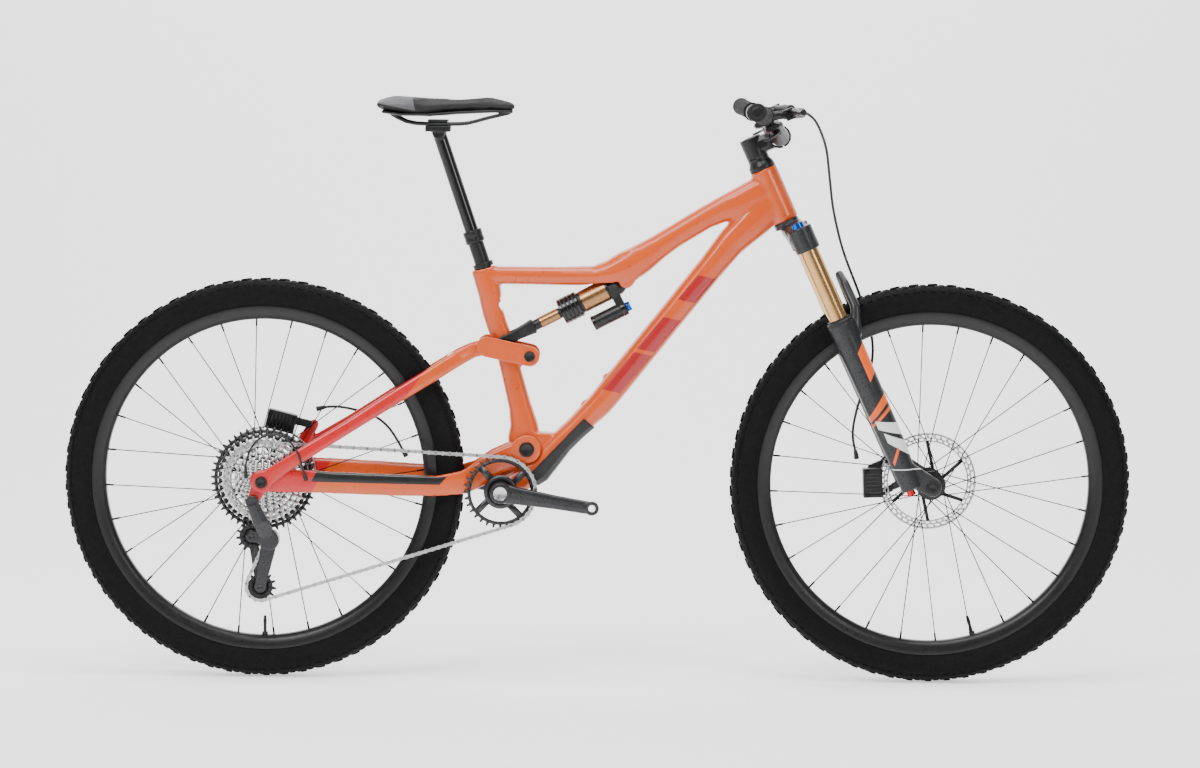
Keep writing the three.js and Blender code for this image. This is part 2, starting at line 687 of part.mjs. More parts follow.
// The outline of the pad, grown all round by a distance.
const padWith = (room) =>
  loft(
    saddleSections.map(([t, z, height, share]) => ({
      at: [saddleNose - t * saddleLength, 0, z + 3],
      width: share * saddleWidth + 2 * room,
      height: height + 2 * room,
    })),
    { sides: 16, squareness: 2.4 },
  );
addPiece("saddle_pad", padWith(0), finishes.black, saddle);

function saddleBase() {
  const shell = loft(
    saddleSections.slice(1, -1).map(([t, z, height, share]) => ({
      at: [saddleNose - t * saddleLength, 0, z - height / 2 - 1],
      width: share * saddleWidth * 0.86,
      height: 7,
    })),
  );
  const railPath = (s) => [
    [saddleNose - 16, s * 6, 36],
    [92, s * 15, 27],
    [50, s * railSide, railHeight + 1],
    [30, s * railSide, railHeight],
    [-28, s * railSide, railHeight],
    [-44, s * railSide, railHeight + 1],
    [-62, s * 25, 20],
    [-86, s * 32, 33],
  ];
  const rails = Object.values(sides).map((s) => cord(railPath(s), railRadius, 14));
  return cut(join(shell, ...rails), padWith(1.2 * gap));
}
addPiece("saddle_base", saddleBase(), finishes.black, saddle);

// ---- Rear suspension ----

const dropoutFoot = rearHubWidth / 2 + gap;
const dropoutThick = 6;
const stayEarFoot = dropoutFoot + dropoutThick + turnGap;
const stayEarThick = 6;
const earFoot = 21.8;
const earTop = 36;
const earMiddle = (earFoot + earTop) / 2;
const chainstayRise = 12; // the left chainstay sits higher
const hanger = { x: rearAxle.x - 16, z: rearAxle.z - 36 };

// A point by the rear axle or by the bottom bracket: distance ahead, height above, side.
const behind = (x, z, y) => [rearAxle.x + x, y, rearAxle.z + z];
const inFront = (x, z, y) => [bracket.x + x, y, bracket.z + z];
const halfTyre = tyreWidth / 2;
const stayFoot = halfTyre + 2; // room for the tyre
const stayTop = -ringSide - 5; // room for the chainring

function chainstay(s) {
  const rise = s > 0 ? chainstayRise : 0;
  const stations = [
    { at: behind(6, 1, dropoutFoot + 3), width: dropoutThick, height: 40 },
    { at: behind(50, 2 + rise * 0.3, dropoutFoot + 2), width: dropoutThick + 3, height: 44 },
    { at: behind(84, 1 + rise * 0.7, dropoutFoot - 4), width: 13, height: 42 },
    { at: behind(128, -2 + rise, dropoutFoot - 10), width: 16, height: 40 },
    { at: inFront(-190, 11 + rise, halfTyre + 21), width: 17, height: 40 },
    { at: inFront(-118, 9 + rise, halfTyre + 11), width: 13, height: 38 },
    { at: inFront(-68, 16 + rise * 0.5, (stayFoot + stayTop) / 2), width: stayTop - stayFoot, height: 44 },
    { at: inFront(-40, 30, halfTyre + 1), width: 13, height: 46 },
    { at: inFront(-8, 52, earMiddle), width: 13, height: 46 },
    { at: [swingPivot.x, earMiddle, swingPivot.z], width: earTop - earFoot, height: 44 },
  ];
  return loft(s > 0 ? stations : mirrored(stations), { squareness: 3.2 });
}

function swingarm() {
  const parts = [];
  for (const s of [-1, 1]) {
    parts.push(chainstay(s));
    parts.push(crossBar(rearAxle, ...span(s, dropoutFoot, dropoutFoot + dropoutThick), 22, 20));
    parts.push(crossBar(swingPivot, ...span(s, earFoot, earTop), 26, 20));
  }
  parts.push(plate(lobes(rearAxle, 16, hanger, 10), -dropoutFoot - dropoutThick, -dropoutFoot));
  parts.push(loft(
    [-1, 0, 1].map((t) => ({ at: inFront(-43, 24, t * (halfTyre + 4)), width: 22, height: 34 })),
    { across: [1, 0, 0] },
  ));
  const room = [
    crossBar(swingPivot, -60, 60, pivotRadius + turnGap),
    crossBar(rearAxle, -100, 100, rearAxleRadius + gap),
    crossBar(swingPivot, -earFoot, earFoot, 32, 16),
    crossBar(bracket, -50, 50, shellRadius + 1.5, 16),
  ];
  return cut(join(...parts), ...room);
}
addPiece("swingarm", swingarm(), finishes.orange);

const rearCaliperTop = rearRotorSide + 11;
const stayInnerFoot = 24.4;
const stayInnerTop = 30;

function seatstay(s) {
  const toPivot = (x, z, y) => [stayPivot.x + x, y, stayPivot.z + z];
  const stations = [
    { at: behind(0, 0, stayEarFoot + 3), width: stayEarThick, height: 34 },
    { at: behind(38, 27, stayEarFoot + 3), width: stayEarThick, height: 27 },
    { at: behind(70, 48, stayEarFoot + 1), width: 9, height: 26 },
    { at: behind(160, 103, dropoutFoot - 10), width: 14, height: 24 },
    { at: toPivot(-181, -93, halfTyre + 20), width: 15, height: 27 },
    { at: toPivot(-111, -50, halfTyre + 12), width: 14, height: 28 },
    { at: toPivot(-66, -22, halfTyre + 4), width: 13, height: 28 },
    { at: toPivot(-40, -9, (stayInnerFoot + stayInnerTop) / 2), width: 5.6, height: 27 },
    { at: toPivot(0, 0, (stayInnerFoot + stayInnerTop) / 2), width: stayInnerTop - stayInnerFoot, height: 25 },
  ];
  return loft(s > 0 ? stations : mirrored(stations), { squareness: 3 });
}

function seatstays() {
  const parts = [];
  for (const s of [-1, 1]) {
    parts.push(seatstay(s));
    parts.push(crossBar(rearAxle, ...span(s, stayEarFoot, stayEarFoot + stayEarThick), 20, 20));
    parts.push(crossBar(stayPivot, ...span(s, stayInnerFoot, stayInnerTop), 13));
  }
  const bridge = { x: stayPivot.x - 79, z: stayPivot.z - 29 };
  const bridgeAt = (t) => [bridge.x, t * (halfTyre + 8), bridge.z + 4 * (1 - t * t)];
  parts.push(loft([-1, 0, 1].map((t) => ({ at: bridgeAt(t), width: 22, height: 20 })), { across: [1, 0, 0] }));
  const mountFoot = { x: rearAxle.x + 66, z: rearAxle.z + 62 };
  const mountHead = { x: rearAxle.x + 84, z: rearAxle.z + 92 };
  parts.push(plate(lobes(mountFoot, 12, mountHead, 9), rearCaliperTop + gap, rearCaliperTop + 9));
  return cut(join(...parts), crossBar(rearAxle, -100, 100, rearAxleRadius + turnGap));
}
addPiece("seatstay", seatstays(), finishes.red);
const rearCaliper = caliper(rearAxle, rearRotorSide, 76, rearRotorSide - 13, rearCaliperTop, [-56, 27]);
addPiece("rear_caliper", rearCaliper, finishes.black);

const rearAxleTop = stayEarFoot + stayEarThick + turnGap;
const rearAxlePiece = join(
  crossBar(rearAxle, -rearAxleTop - 1, rearAxleTop + 1, rearAxleRadius),
  crossBar(rearAxle, -rearAxleTop - 4, -rearAxleTop, 11),
  crossBar(rearAxle, rearAxleTop, rearAxleTop + 3, 9),
);
addPiece("rear_axle", rearAxlePiece, finishes.darkMetal);

const rockerFoot = stayInnerTop + turnGap;
const rockerTop = rockerFoot + 7.2;
const rockerTail = { x: stayPivot.x - 15.5, z: stayPivot.z - 1.5 };

function rocker() {
  const outline = lobes(rockerPivot, 18.5, rockerTail, 18.5);
  const cheeks = [-1, 1].map((s) => plate(outline, ...span(s, rockerFoot, rockerTop), 6));
  return join(...cheeks, crossBar(rockerPivot, -rockerTop - 1.5, rockerTop + 1.5, pivotRadius - 1));
}
addPiece("rocker_link", rocker(), finishes.orange);

// ---- Shock, in a frame whose X runs from its front eye to the seatstay pivot ----

const shockLength = Math.hypot(stayPivot.x - shockEye.x, stayPivot.z - shockEye.z);
const shockTurn = THREE.MathUtils.radToDeg(Math.atan2(shockEye.z - stayPivot.z, stayPivot.x - shockEye.x));
const shock = addGroup(shockEye.x, shockEye.z, shockTurn);
const alongX = (from, to, radius, z = 0, sides = 18) => bar([from, 0, z], [to, 0, z], radius, sides);
const canFoot = 37;
const canTop = 96;
const yokeHead = collarEnd + shockStroke + 6;
const shaftFoot = collarEnd - 24;
const reservoir = { z: 45, from: 22, to: 91, radius: 13.5 };
const earSpace = 12.5;

function shockBody() {
  const eye = crossBar({ x: 0, z: 0 }, -earSpace + gap, earSpace - gap, 12);
  const head = loft([
    { at: [2, 0, 0], width: 20, height: 22 },
    { at: [16, 0, 2], width: 24, height: 34 },
    { at: [canFoot, 0, 1], width: 2 * canRadius, height: 2 * canRadius },
  ], { squareness: 2.4 });
  const can = alongX(canFoot - 1, canTop + 1, canRadius, 0, 24);
  const collar = alongX(canTop, collarEnd, collarRadius, 0, 24);
  const bridge = box(reservoir.from, reservoir.from + 16, -11, 11, 0, reservoir.z);
  const can2 = alongX(reservoir.from, reservoir.to, reservoir.radius, reservoir.z);
  const bore = alongX(shaftFoot - shockStroke - 4, collarEnd + 1, shaftRadius + turnGap);
  const eyeBore = crossBar({ x: 0, z: 0 }, -20, 20, 5 + turnGap);
  return cut(join(eye, head, can, collar, bridge, can2), bore, eyeBore);
}

function shockShaft() {
  const shaft = alongX(shaftFoot, yokeHead + 2, shaftRadius);
  const arms = [-1, 1].map((s) => loft([
    { at: [yokeHead, s * 6, 0], width: 14, height: 28 },
    { at: [yokeHead + 14, s * 11, 0], width: 12, height: 24 },
    { at: [yokeHead + 32, s * 20, 0], width: 6, height: 20 },
    { at: [shockLength, s * 20.5, 0], width: 6, height: 22 },
  ], { squareness: 3 }));
  const eyes = [-1, 1].map((s) => crossBar({ x: shockLength, z: 0 }, ...span(s, 17.5, 23.5), 12));
  return join(shaft, ...arms, ...eyes);
}

addPiece("shock_body", shockBody(), finishes.darkMetal, shock);
addPiece("shock_shaft", shockShaft(), finishes.darkMetal, shock);
const leverFoot = reservoir.from - gap;
const leverTab = box(leverFoot - 8, leverFoot - 3, -24, -4, reservoir.z - 4, reservoir.z + 4);
const leverCap = alongX(leverFoot - 8, leverFoot, 9, reservoir.z);
addPiece("shock_lever", join(leverCap, leverTab), finishes.blue, shock);

// ---- Front frame ----

// Stations of the tubes: place, width across the bike, height in the side view.
const station = (place, width, height) => ({ at: [place.x, 0, place.z], width, height });
const nearSeat = (x, z) => ({ x: seatTop.x + x, z: seatTop.z + z });
const nearHead = (x, z) => ({ x: headFoot.x + x, z: headFoot.z + z });
// A place a share of the way from the shock mount's tube to the head tube.
const between = (a, b, t, x = 0, z = 0) => ({ x: a.x + t * (b.x - a.x) + x, z: a.z + t * (b.z - a.z) + z });

const kink = fromBracket(252, 433);
const downFoot = fromBracket(110.5, 91);
const topHead = nearHead(-79.5, 30.5);
const downHead = nearHead(-84, -21.5);
const downBend = fromBracket(181.5, 160); // the straight stretch ends here

const seatTubeStations = [
  station(nearSeat(-1, -1.5), 38, 46),
  station(nearSeat(11, -47), 38, 43),
  station(nearSeat(16, -79), 35, 38.5),
  station(fromBracket(-9.5, 303), 33, 38.5),
  station(fromBracket(5, 265), 32, 36),
  station(fromBracket(21, 203), 34, 38.5),
  station(fromBracket(33.5, 155), 40, 42),
  station(fromBracket(41, 122), 43, 51),
  station(fromBracket(42, 95), 43, 62),
  station(fromBracket(41, 70), 42, 60),
  station(fromBracket(10, 20), 50, 50),
];
const topTubeStations = [
  station(nearSeat(6, -14), 36, 32),
  station(nearSeat(142, -14.5), 38, 34),
  station(nearSeat(201, -13.5), 50, 36),
  station(nearSeat(230, -9), 58, 48),
  station(nearSeat(259, 0.5), 58, 62),
  station(between(kink, topHead, 0, 3, -4), 54, 55),
  station(between(kink, topHead, 0.17, 1, 0), 46, 46),
  station(between(kink, topHead, 0.33, 0, 4), 42, 42),
  station(between(kink, topHead, 0.64, 0, 9), 42, 42),
  station(between(kink, topHead, 0.8, 0, 8), 42, 47),
  station(topHead, 44, 63),
  station(nearHead(-18, 60), 46, 72),
];
const downTubeStations = [
  station(nearHead(-16, 38), 46, 70),
  station(between(downHead, downBend, 0.06), 52, 54),
  station(between(downHead, downBend, 0.2), 54, 49),
  station(between(downHead, downBend, 0.5), 56, 48),
  station(between(downHead, downBend, 0.9), 58, 49),
  station(between(downHead, downBend, 1), 59, 47.5),
  station(between(downBend, downFoot, 0.62), 60, 40),
  station(downFoot, 60, 41),
  station(fromBracket(66, 40), 62, 52),
  station(fromBracket(10, 4), 62, 50),
];

const onFork = (from, to, radius) => outOf(front, bar([0, 0, from], [0, 0, to], radius, 16));
const onPost = (from, to, radius) => outOf(post, bar([0, 0, from], [0, 0, to], radius, 16));
const bottleMiddle = between(downHead, downBend, 0.966);
const downSlope = Math.atan2(downHead.z - downBend.z, downHead.x - downBend.x);
const bottleSpacing = 64;
const bossRise = 28; // from the middle of the down tube

// A screw boss on the upper side of the down tube.
function bottleBoss(offset) {
  const up = [-Math.sin(downSlope), 0, Math.cos(downSlope)];
  const foot = [
    bottleMiddle.x + offset * Math.cos(downSlope),
    0,
    bottleMiddle.z + offset * Math.sin(downSlope),
  ];
  return bar(foot, foot.map((v, i) => v + up[i] * bossRise), 6, 7);
}

// The room that the shock needs in the underside of the top tube, at both ends of its swing.
function shockRoom() {
  return [0, 3, 6].map((turn) => {
    const swept = bar([0, 0, 0], [110, 0, 0], canRadius + 2, 14).rotateY(rad(turn));
    return outOf(shock, swept);
  });
}

function frame() {
  const shell = crossBar(bracket, -shellWidth / 2, shellWidth / 2, shellRadius, 18);
  const swingBoss = crossBar(swingPivot, -earFoot + turnGap, earFoot - turnGap, 27, 18);
  const rockerBoss = crossBar(rockerPivot, -rockerFoot + turnGap, rockerFoot - turnGap, 12.5);
  const rockerWeb = plate(lobes(rockerPivot, 13, fromBracket(16, 246), 22), -12, 12);
  const swingWeb = plate(lobes(swingPivot, 30, fromBracket(103, 88), 17), turnGap - earFoot, earFoot - turnGap);
  const earOutline = lobes(shockEye, 14, { x: kink.x - 8, z: kink.z - 6 }, 20);
  const eyeEars = [-1, 1].map((s) => plate(earOutline, ...span(s, earSpace, 22.5)));
  const body = join(
    loft(seatTubeStations, { sides: 12 }),
    loft(topTubeStations, { sides: 12 }),
    loft(downTubeStations, { sides: 12 }),
    onFork(0, headLength, headRadius),
    shell, swingBoss, swingWeb, rockerBoss, rockerWeb,
    bottleBoss(bottleSpacing / 2), bottleBoss(-bottleSpacing / 2),
  );
  const eyeSlot = outOf(shock, box(-16, 60, -earSpace, earSpace, -20, 24));
  return cut(
    join(cut(body, ...shockRoom()), ...eyeEars),
    eyeSlot,
    onFork(-20, headLength + 20, steererRadius + 1),
    onFork(-30, 0, headRadius + 6),
    onPost(-postInsert - 2, 40, outerPostRadius + gap),
    onPost(postFoot - postTravel - 3, 0, postRadius + turnGap),
    onPost(0, 40, 40),
    crossBar(bracket, -60, 60, spindleRadius + 7),
    crossBar(swingPivot, earFoot - turnGap, 60, 28),
    crossBar(swingPivot, -60, turnGap - earFoot, 28),
    crossBar(swingPivot, -60, 60, pivotRadius + gap),
    crossBar(rockerPivot, -60, 60, pivotRadius - 1 + turnGap),
    outOf(shock, bar([collarEnd - 44, 0, 0], [collarEnd + 4, 0, 0], collarRadius + 3, 14)),
  );
}
addPiece("main_frame", frame(), finishes.orange);

// A guard that wraps the lower end of the down tube.
function guard() {
  const grow = (s, by) => ({ ...s, width: s.width + 2 * by, height: s.height + 2 * by });
  const lower = downTubeStations.slice(4);
  const outer = loft(lower.map((s) => grow(s, 4)), { sides: 12 });
  const inner = loft(lower.map((s) => grow(s, gap)), { sides: 12 });
  const slope = Math.atan2(downFoot.z - bracket.z, downFoot.x - bracket.x);
  const half = new THREE.BoxGeometry(150, 90, 70).translate(0, 0, -36).rotateY(-slope - 0.12);
  half.translate(between(bracket, downFoot, 0.9).x, 0, between(bracket, downFoot, 0.9).z);
  const clear = [
    crossBar(bracket, -60, 60, shellRadius + 18, 24),
    crossBar(swingPivot, -60, 60, 32, 24),
  ];
  return cut(asSolid(outer).intersect(asSolid(half)), inner, ...clear);
}
addPiece("down_tube_guard", guard(), finishes.black);

const cupProfile = [
  [spindleRadius + turnGap / 2, -44],
  [shellRadius - 2, -44],
  [shellRadius - 2, -shellWidth / 2 - gap],
  [spindleRadius + 6, -shellWidth / 2 - gap],
  [spindleRadius + 6, shellWidth / 2 + gap],
  [shellRadius - 2, shellWidth / 2 + gap],
  [shellRadius - 2, 44],
  [spindleRadius + turnGap / 2, 44],
];
const drive = addGroup(bracket.x, bracket.z);
addPiece("bottom_bracket", turned(cupProfile), finishes.black, drive);
const pivotTop = earTop + turnGap;
const pivotAxle = join(
  crossBar(swingPivot, -pivotTop - 1, pivotTop + 1, pivotRadius),
  crossBar(swingPivot, -pivotTop - 3, -pivotTop, 14),
  crossBar(swingPivot, pivotTop, pivotTop + 3, 12),
);
addPiece("main_pivot_axle", pivotAxle, finishes.black);

// ---- Drive ----

// Room under a chain that lies on a polygon.
const rootOf = (teeth) => pitchRadius(teeth) - chainHeight / 2 - 1;

const crank = addGroup(bracket.x, bracket.z, crankTurn);
const spindleEnd = 80;
const armFoot = 58;

function crankArm(s) {
  const far = s * -crankLength;
  const side = (y) => s * y;
  const arm = loft([
    { at: [0, side(armFoot + 9), 0], width: 17, height: 40 },
    { at: [far * 0.16, side(armFoot + 10), 0], width: 17, height: 33 },
    { at: [far * 0.6, side(armFoot + 15), 0], width: 13, height: 26 },
    { at: [far, side(armFoot + 20), 0], width: 13, height: 24 },
  ], { squareness: 3 });
  const boss = crossBar({ x: 0, z: 0 }, ...span(s, armFoot, spindleEnd), 19, 20);
  const end = crossBar({ x: far, z: 0 }, ...span(s, 72, 85), 13);
  const thread = crossBar({ x: far, z: 0 }, -100, 100, 6.8, 14);
  return { solid: join(arm, boss, end), thread };
}

function rightCrank() {
  const { solid, thread } = crankArm(-1);
  const spider = crossBar({ x: 0, z: 0 }, -armFoot - 1, ringSide + 4, 20, 20);
  const spindle = crossBar({ x: 0, z: 0 }, -spindleEnd, spindleEnd - 4, spindleRadius, 20);
  return cut(join(solid, spider, spindle), thread);
}

function leftCrank() {
  const { solid, thread } = crankArm(1);
  return cut(solid, thread, crossBar({ x: 0, z: 0 }, 40, spindleEnd - 3.5, spindleRadius + gap, 20));
}

const chainring = windowedRing({
  radius: rootOf(ringTeeth),
  bore: 20 + gap,
  from: ringSide - 1.5,
  to: ringSide + 1.5,
  windows: 4,
  inner: 28,
  outer: rootOf(ringTeeth) - 9,
  web: 0.22,
});

addPiece("crank_right", rightCrank(), finishes.darkMetal, crank);
addPiece("crank_left", leftCrank(), finishes.darkMetal, crank);
addPiece("chainring", chainring, finishes.darkMetal, crank);

// Cogs from the smallest, outside, to the largest. Each fills the space up to the next one.
function cassette() {
  const bore = freehubRadius + turnGap;
  const profile = [[bore, firstCogSide - cogThickness / 2]];
  cogTeeth.forEach((teeth, i) => {
    const radius = i === gearInUse ? rootOf(teeth) : pitchRadius(teeth) + (i > gearInUse ? 3.5 : -1);
    const from = firstCogSide + i * cogStep - cogThickness / 2;
    const isLast = i === cogTeeth.length - 1;
    profile.push([radius, from], [radius, from + (isLast ? cogThickness : cogStep)]);
  });
  profile.push([bore, firstCogSide + (cogTeeth.length - 1) * cogStep + cogThickness / 2]);
  return turned(profile, 17);
}
addPiece("cassette", cassette(), finishes.silver, rearWheel);

// Derailleur
const cagePivot = { x: rearAxle.x + 13, z: rearAxle.z - 108 };
const guidePulley = { x: rearAxle.x - 21, z: rearAxle.z - 105 };
const tensionPulley = { x: rearAxle.x - 5, z: rearAxle.z - 198 };
const outerCage = chainSide - 8.4;
const innerCage = chainSide + 3.8;
const cageThick = 1.6;

function derailleurBody() {
  const mount = crossBar(hanger, -dropoutFoot - dropoutThick - 15, -dropoutFoot - dropoutThick - gap, 12);
  const linkage = loft([
    { at: [hanger.x + 1, -dropoutFoot - 15, hanger.z - 4], width: 14, height: 22 },
    { at: [hanger.x + 14, -dropoutFoot - 12, hanger.z - 36], width: 20, height: 28 },
    { at: [cagePivot.x - 2, outerCage - 16, cagePivot.z + 6], width: 24, height: 30 },
  ], { squareness: 3 });
  const knuckle = crossBar(cagePivot, outerCage - 30, outerCage - gap - 0.3, 19);
  return join(mount, linkage, knuckle);
}

function cage() {
  const outer = join(
    plate(lobes(cagePivot, 15, tensionPulley, 10), outerCage, outerCage + cageThick),
    plate(lobes(guidePulley, 9, cagePivot, 14), outerCage, outerCage + cageThick),
  );
  const inner = plate(lobes(guidePulley, 8, tensionPulley, 9), innerCage, innerCage + cageThick);
  const pins = [guidePulley, tensionPulley].map((p) => crossBar(p, outerCage, innerCage + cageThick, 3, 10));
  return join(outer, inner, ...pins);
}

const halfPulley = 2.4;
const pulleyProfile = [
  [3 + turnGap, -halfPulley],
  [rootOf(pulleyTeeth), -halfPulley],
  [rootOf(pulleyTeeth), halfPulley],
  [3 + turnGap, halfPulley],
];
addPiece("derailleur_body", derailleurBody(), finishes.black);
addPiece("derailleur_cage", cage(), finishes.black);
for (const [name, at] of Object.entries({ guide_pulley: guidePulley, tension_pulley: tensionPulley })) {
  addPiece(name, turned(pulleyProfile, 16).translate(at.x, chainSide, at.z), finishes.black);
}

// The chain is a band round four wheels. A wheel turned the other way by the chain has a negative radius.
const chainWheels = [
  { x: bracket.x, z: bracket.z, radius: pitchRadius(ringTeeth) },
  { x: rearAxle.x, z: rearAxle.z, radius: pitchRadius(cogTeeth[gearInUse]) },
  { x: guidePulley.x, z: guidePulley.z, radius: -pitchRadius(pulleyTeeth) },
  { x: tensionPulley.x, z: tensionPulley.z, radius: pitchRadius(pulleyTeeth) },
];

function chainOutline(path, offset) {
  const count = chainWheels.length;
  const runs = chainWheels.map((from, i) => {
    const to = chainWheels[(i + 1) % count];
    const way = Math.atan2(to.z - from.z, to.x - from.x);
    return way - Math.asin((to.radius - from.radius) / Math.hypot(to.x - from.x, to.z - from.z));
  });
  chainWheels.forEach((wheel, i) => {
    const radius = wheel.radius + offset;
    const quarter = radius > 0 ? -Math.PI / 2 : Math.PI / 2;
    const arrive = runs[(i + count - 1) % count] + quarter;
    const leave = runs[i] + quarter;
    path.absarc(wheel.x, wheel.z, Math.abs(radius), arrive, leave, radius < 0);
  });
  return path;
}

function chain() {
  const outline = chainOutline(new THREE.Shape(), chainHeight / 2);
  outline.holes.push(chainOutline(new THREE.Path(), -chainHeight / 2));
  const band = plate(outline, -chainWidth / 2, chainWidth / 2, 6);
  const points = band.getAttribute("position");
  const middle = (bracket.x + rearAxle.x) / 2;
  for (let i = 0; i < points.count; i += 1) {
    points.setY(i, points.getY(i) + (points.getX(i) > middle ? ringSide : chainSide));
  }
  return band;
}
addPiece("chain", chain(), finishes.silver);

// ---- Hoses and housing ----

const hoseRadius = 2.5;
const housingRadius = 2;

// Front brake hose: from the right lever, round the head tube, to the caliper on the left leg.
const frontHosePoints = [
  [360.2, -186.6, 1054],
  [370, -174, 1052],
  [388, -155, 1035],
  [407, -120, 991],
  [418, -65, 933],
  [429, -10, 873],
  [450, 30, 798],
  [483, 55, 716],
  [502, 58, 660],
  [509, 48, 618],
  [505, 38, 578],
  [492, 35, 540],
  [480, 37, 500],
  [474, 44, 455],
  [482, 50, 412],
];
addPiece("front_hose", cord(frontHosePoints, hoseRadius, 54), finishes.rubber);

// Rear brake hose: from the caliper, over the left seatstay, into the left chainstay.
const rearHosePoints = [
  behind(92, 122, 62),
  behind(106, 125, 63),
  behind(120.5, 126, 66),
  behind(134.5, 125, 69.5),
  behind(148.5, 122.5, 73),
  behind(163, 119, 75.5),
  behind(177, 115, 77),
  behind(190.5, 110, 78),
  behind(203.5, 103.5, 78),
  behind(215, 95, 77),
  behind(225.5, 84.5, 75),
  behind(234, 73, 72),
  behind(242, 61, 68.5),
  behind(249, 49, 64),
  behind(256, 38, 58),
];
addPiece("rear_hose", cord(rearHosePoints, hoseRadius, 16), finishes.rubber);

// Gear cable housing: from the right chainstay, over the hanger, into the derailleur.
const housingPoints = [
  behind(81, 7, -80.5),
  behind(77, 21, -85),
  behind(73.5, 35.5, -88.5),
  behind(69, 50, -90.5),
  behind(62.5, 63.5, -92.5),
  behind(53, 75.5, -93.5),
  behind(40.5, 84.5, -94.5),
  behind(26, 89, -96),
  behind(11, 87.5, -96.5),
  behind(-2.5, 81, -97),
  behind(-13, 70, -97),
  behind(-20.5, 57, -97),
  behind(-25, 42.5, -97),
  behind(-27.5, 27.5, -97),
  behind(-27, 12, -96),
];
addPiece("gear_housing", cord(housingPoints, housingRadius, 21), finishes.rubber);

export default bike;
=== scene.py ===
import json
import math
import bmesh
import bpy
from mathutils import Matrix, Vector


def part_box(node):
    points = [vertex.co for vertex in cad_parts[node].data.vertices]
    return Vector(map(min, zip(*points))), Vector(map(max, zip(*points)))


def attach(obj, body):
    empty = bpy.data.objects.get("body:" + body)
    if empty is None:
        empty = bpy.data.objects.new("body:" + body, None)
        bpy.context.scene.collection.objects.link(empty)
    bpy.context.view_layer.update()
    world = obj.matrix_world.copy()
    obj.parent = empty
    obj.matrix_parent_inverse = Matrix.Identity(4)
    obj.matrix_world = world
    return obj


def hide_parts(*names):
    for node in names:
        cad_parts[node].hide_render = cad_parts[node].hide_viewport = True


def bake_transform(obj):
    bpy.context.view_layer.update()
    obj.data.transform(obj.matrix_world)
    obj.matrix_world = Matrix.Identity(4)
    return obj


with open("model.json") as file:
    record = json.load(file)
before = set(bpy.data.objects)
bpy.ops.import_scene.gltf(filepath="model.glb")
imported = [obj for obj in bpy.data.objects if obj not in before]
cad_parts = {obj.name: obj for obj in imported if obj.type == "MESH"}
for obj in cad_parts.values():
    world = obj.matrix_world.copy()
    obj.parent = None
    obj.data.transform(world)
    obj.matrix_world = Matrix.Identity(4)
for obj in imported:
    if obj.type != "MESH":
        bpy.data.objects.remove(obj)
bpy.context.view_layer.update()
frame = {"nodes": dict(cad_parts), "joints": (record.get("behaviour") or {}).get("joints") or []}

mm = 0.001
joints = {j["name"]: j for j in frame["joints"]}
jointPlace = {name: Vector(j["pos_m"]) for name, j in joints.items() if j.get("pos_m")}
jointAxis = {name: Vector(j["axis"]).normalized() for name, j in joints.items()}
rearHub = jointPlace["rear_wheel_spin"]
frontHub = jointPlace["front_wheel_spin"]
crankCentre = jointPlace["crank_spin"]
acrossBike = Vector((0, 1, 0))

# ---- Camera ----

cameraSet = {
    "lens": 113.8,
    "target": (0.0034, 0, 0.5485),
    "distance": 7.0,
    "tilt": 5.0,      # degrees down
    "roll": 0.53,     # degrees
}


def makeCamera():
    data = bpy.data.cameras.new("camera")
    data.lens = cameraSet["lens"]
    data.sensor_width = 36
    camera = bpy.data.objects.new("camera", data)
    bpy.context.scene.collection.objects.link(camera)
    tilt = math.radians(cameraSet["tilt"])
    away = Vector((0, -math.cos(tilt), math.sin(tilt))) * cameraSet["distance"]
    place = Matrix.Translation(Vector(cameraSet["target"]) + away)
    turn = Matrix.Rotation(math.radians(90) - tilt, 4, "X")
    roll = Matrix.Rotation(math.radians(cameraSet["roll"]), 4, "Z")
    camera.matrix_world = place @ turn @ roll
    bpy.context.scene.camera = camera


makeCamera()
print("camera placed")

# ---- Hoses and housing ----

hoseSet = {"hose": 0.0025, "housing": 0.002}
frontHoseRoute = [
    (0.3602, -0.1866, 1.054), (0.37, -0.174, 1.052), (0.388, -0.155, 1.035), (0.407, -0.12, 0.991),
    (0.418, -0.065, 0.933), (0.429, -0.01, 0.873), (0.45, 0.03, 0.798), (0.483, 0.055, 0.716),
    (0.502, 0.058, 0.66), (0.509, 0.048, 0.618), (0.505, 0.038, 0.578), (0.492, 0.035, 0.54),
    (0.48, 0.037, 0.5), (0.474, 0.044, 0.455), (0.482, 0.05, 0.412),
]
# The next two routes are measured from the rear axle.
rearHoseRoute = [
    (0.092, 0.062, 0.122), (0.106, 0.063, 0.125), (0.1205, 0.066, 0.126), (0.1345, 0.0695, 0.125),
    (0.1485, 0.073, 0.1225), (0.163, 0.0755, 0.119), (0.177, 0.077, 0.115), (0.1905, 0.078, 0.11),
    (0.2035, 0.078, 0.1035), (0.215, 0.077, 0.095), (0.2255, 0.075, 0.0845), (0.234, 0.072, 0.073),
    (0.242, 0.0685, 0.061), (0.249, 0.064, 0.049), (0.256, 0.058, 0.038),
]
housingRoute = [
    (0.081, -0.0805, 0.007), (0.077, -0.085, 0.021), (0.0735, -0.0885, 0.0355), (0.069, -0.0905, 0.05),
    (0.0625, -0.0925, 0.0635), (0.053, -0.0935, 0.0755), (0.0405, -0.0945, 0.0845), (0.026, -0.096, 0.089),
    (0.011, -0.0965, 0.0875), (-0.0025, -0.097, 0.081), (-0.013, -0.097, 0.07), (-0.0205, -0.097, 0.057),
    (-0.025, -0.097, 0.0425), (-0.0275, -0.097, 0.0275), (-0.027, -0.096, 0.012),
]


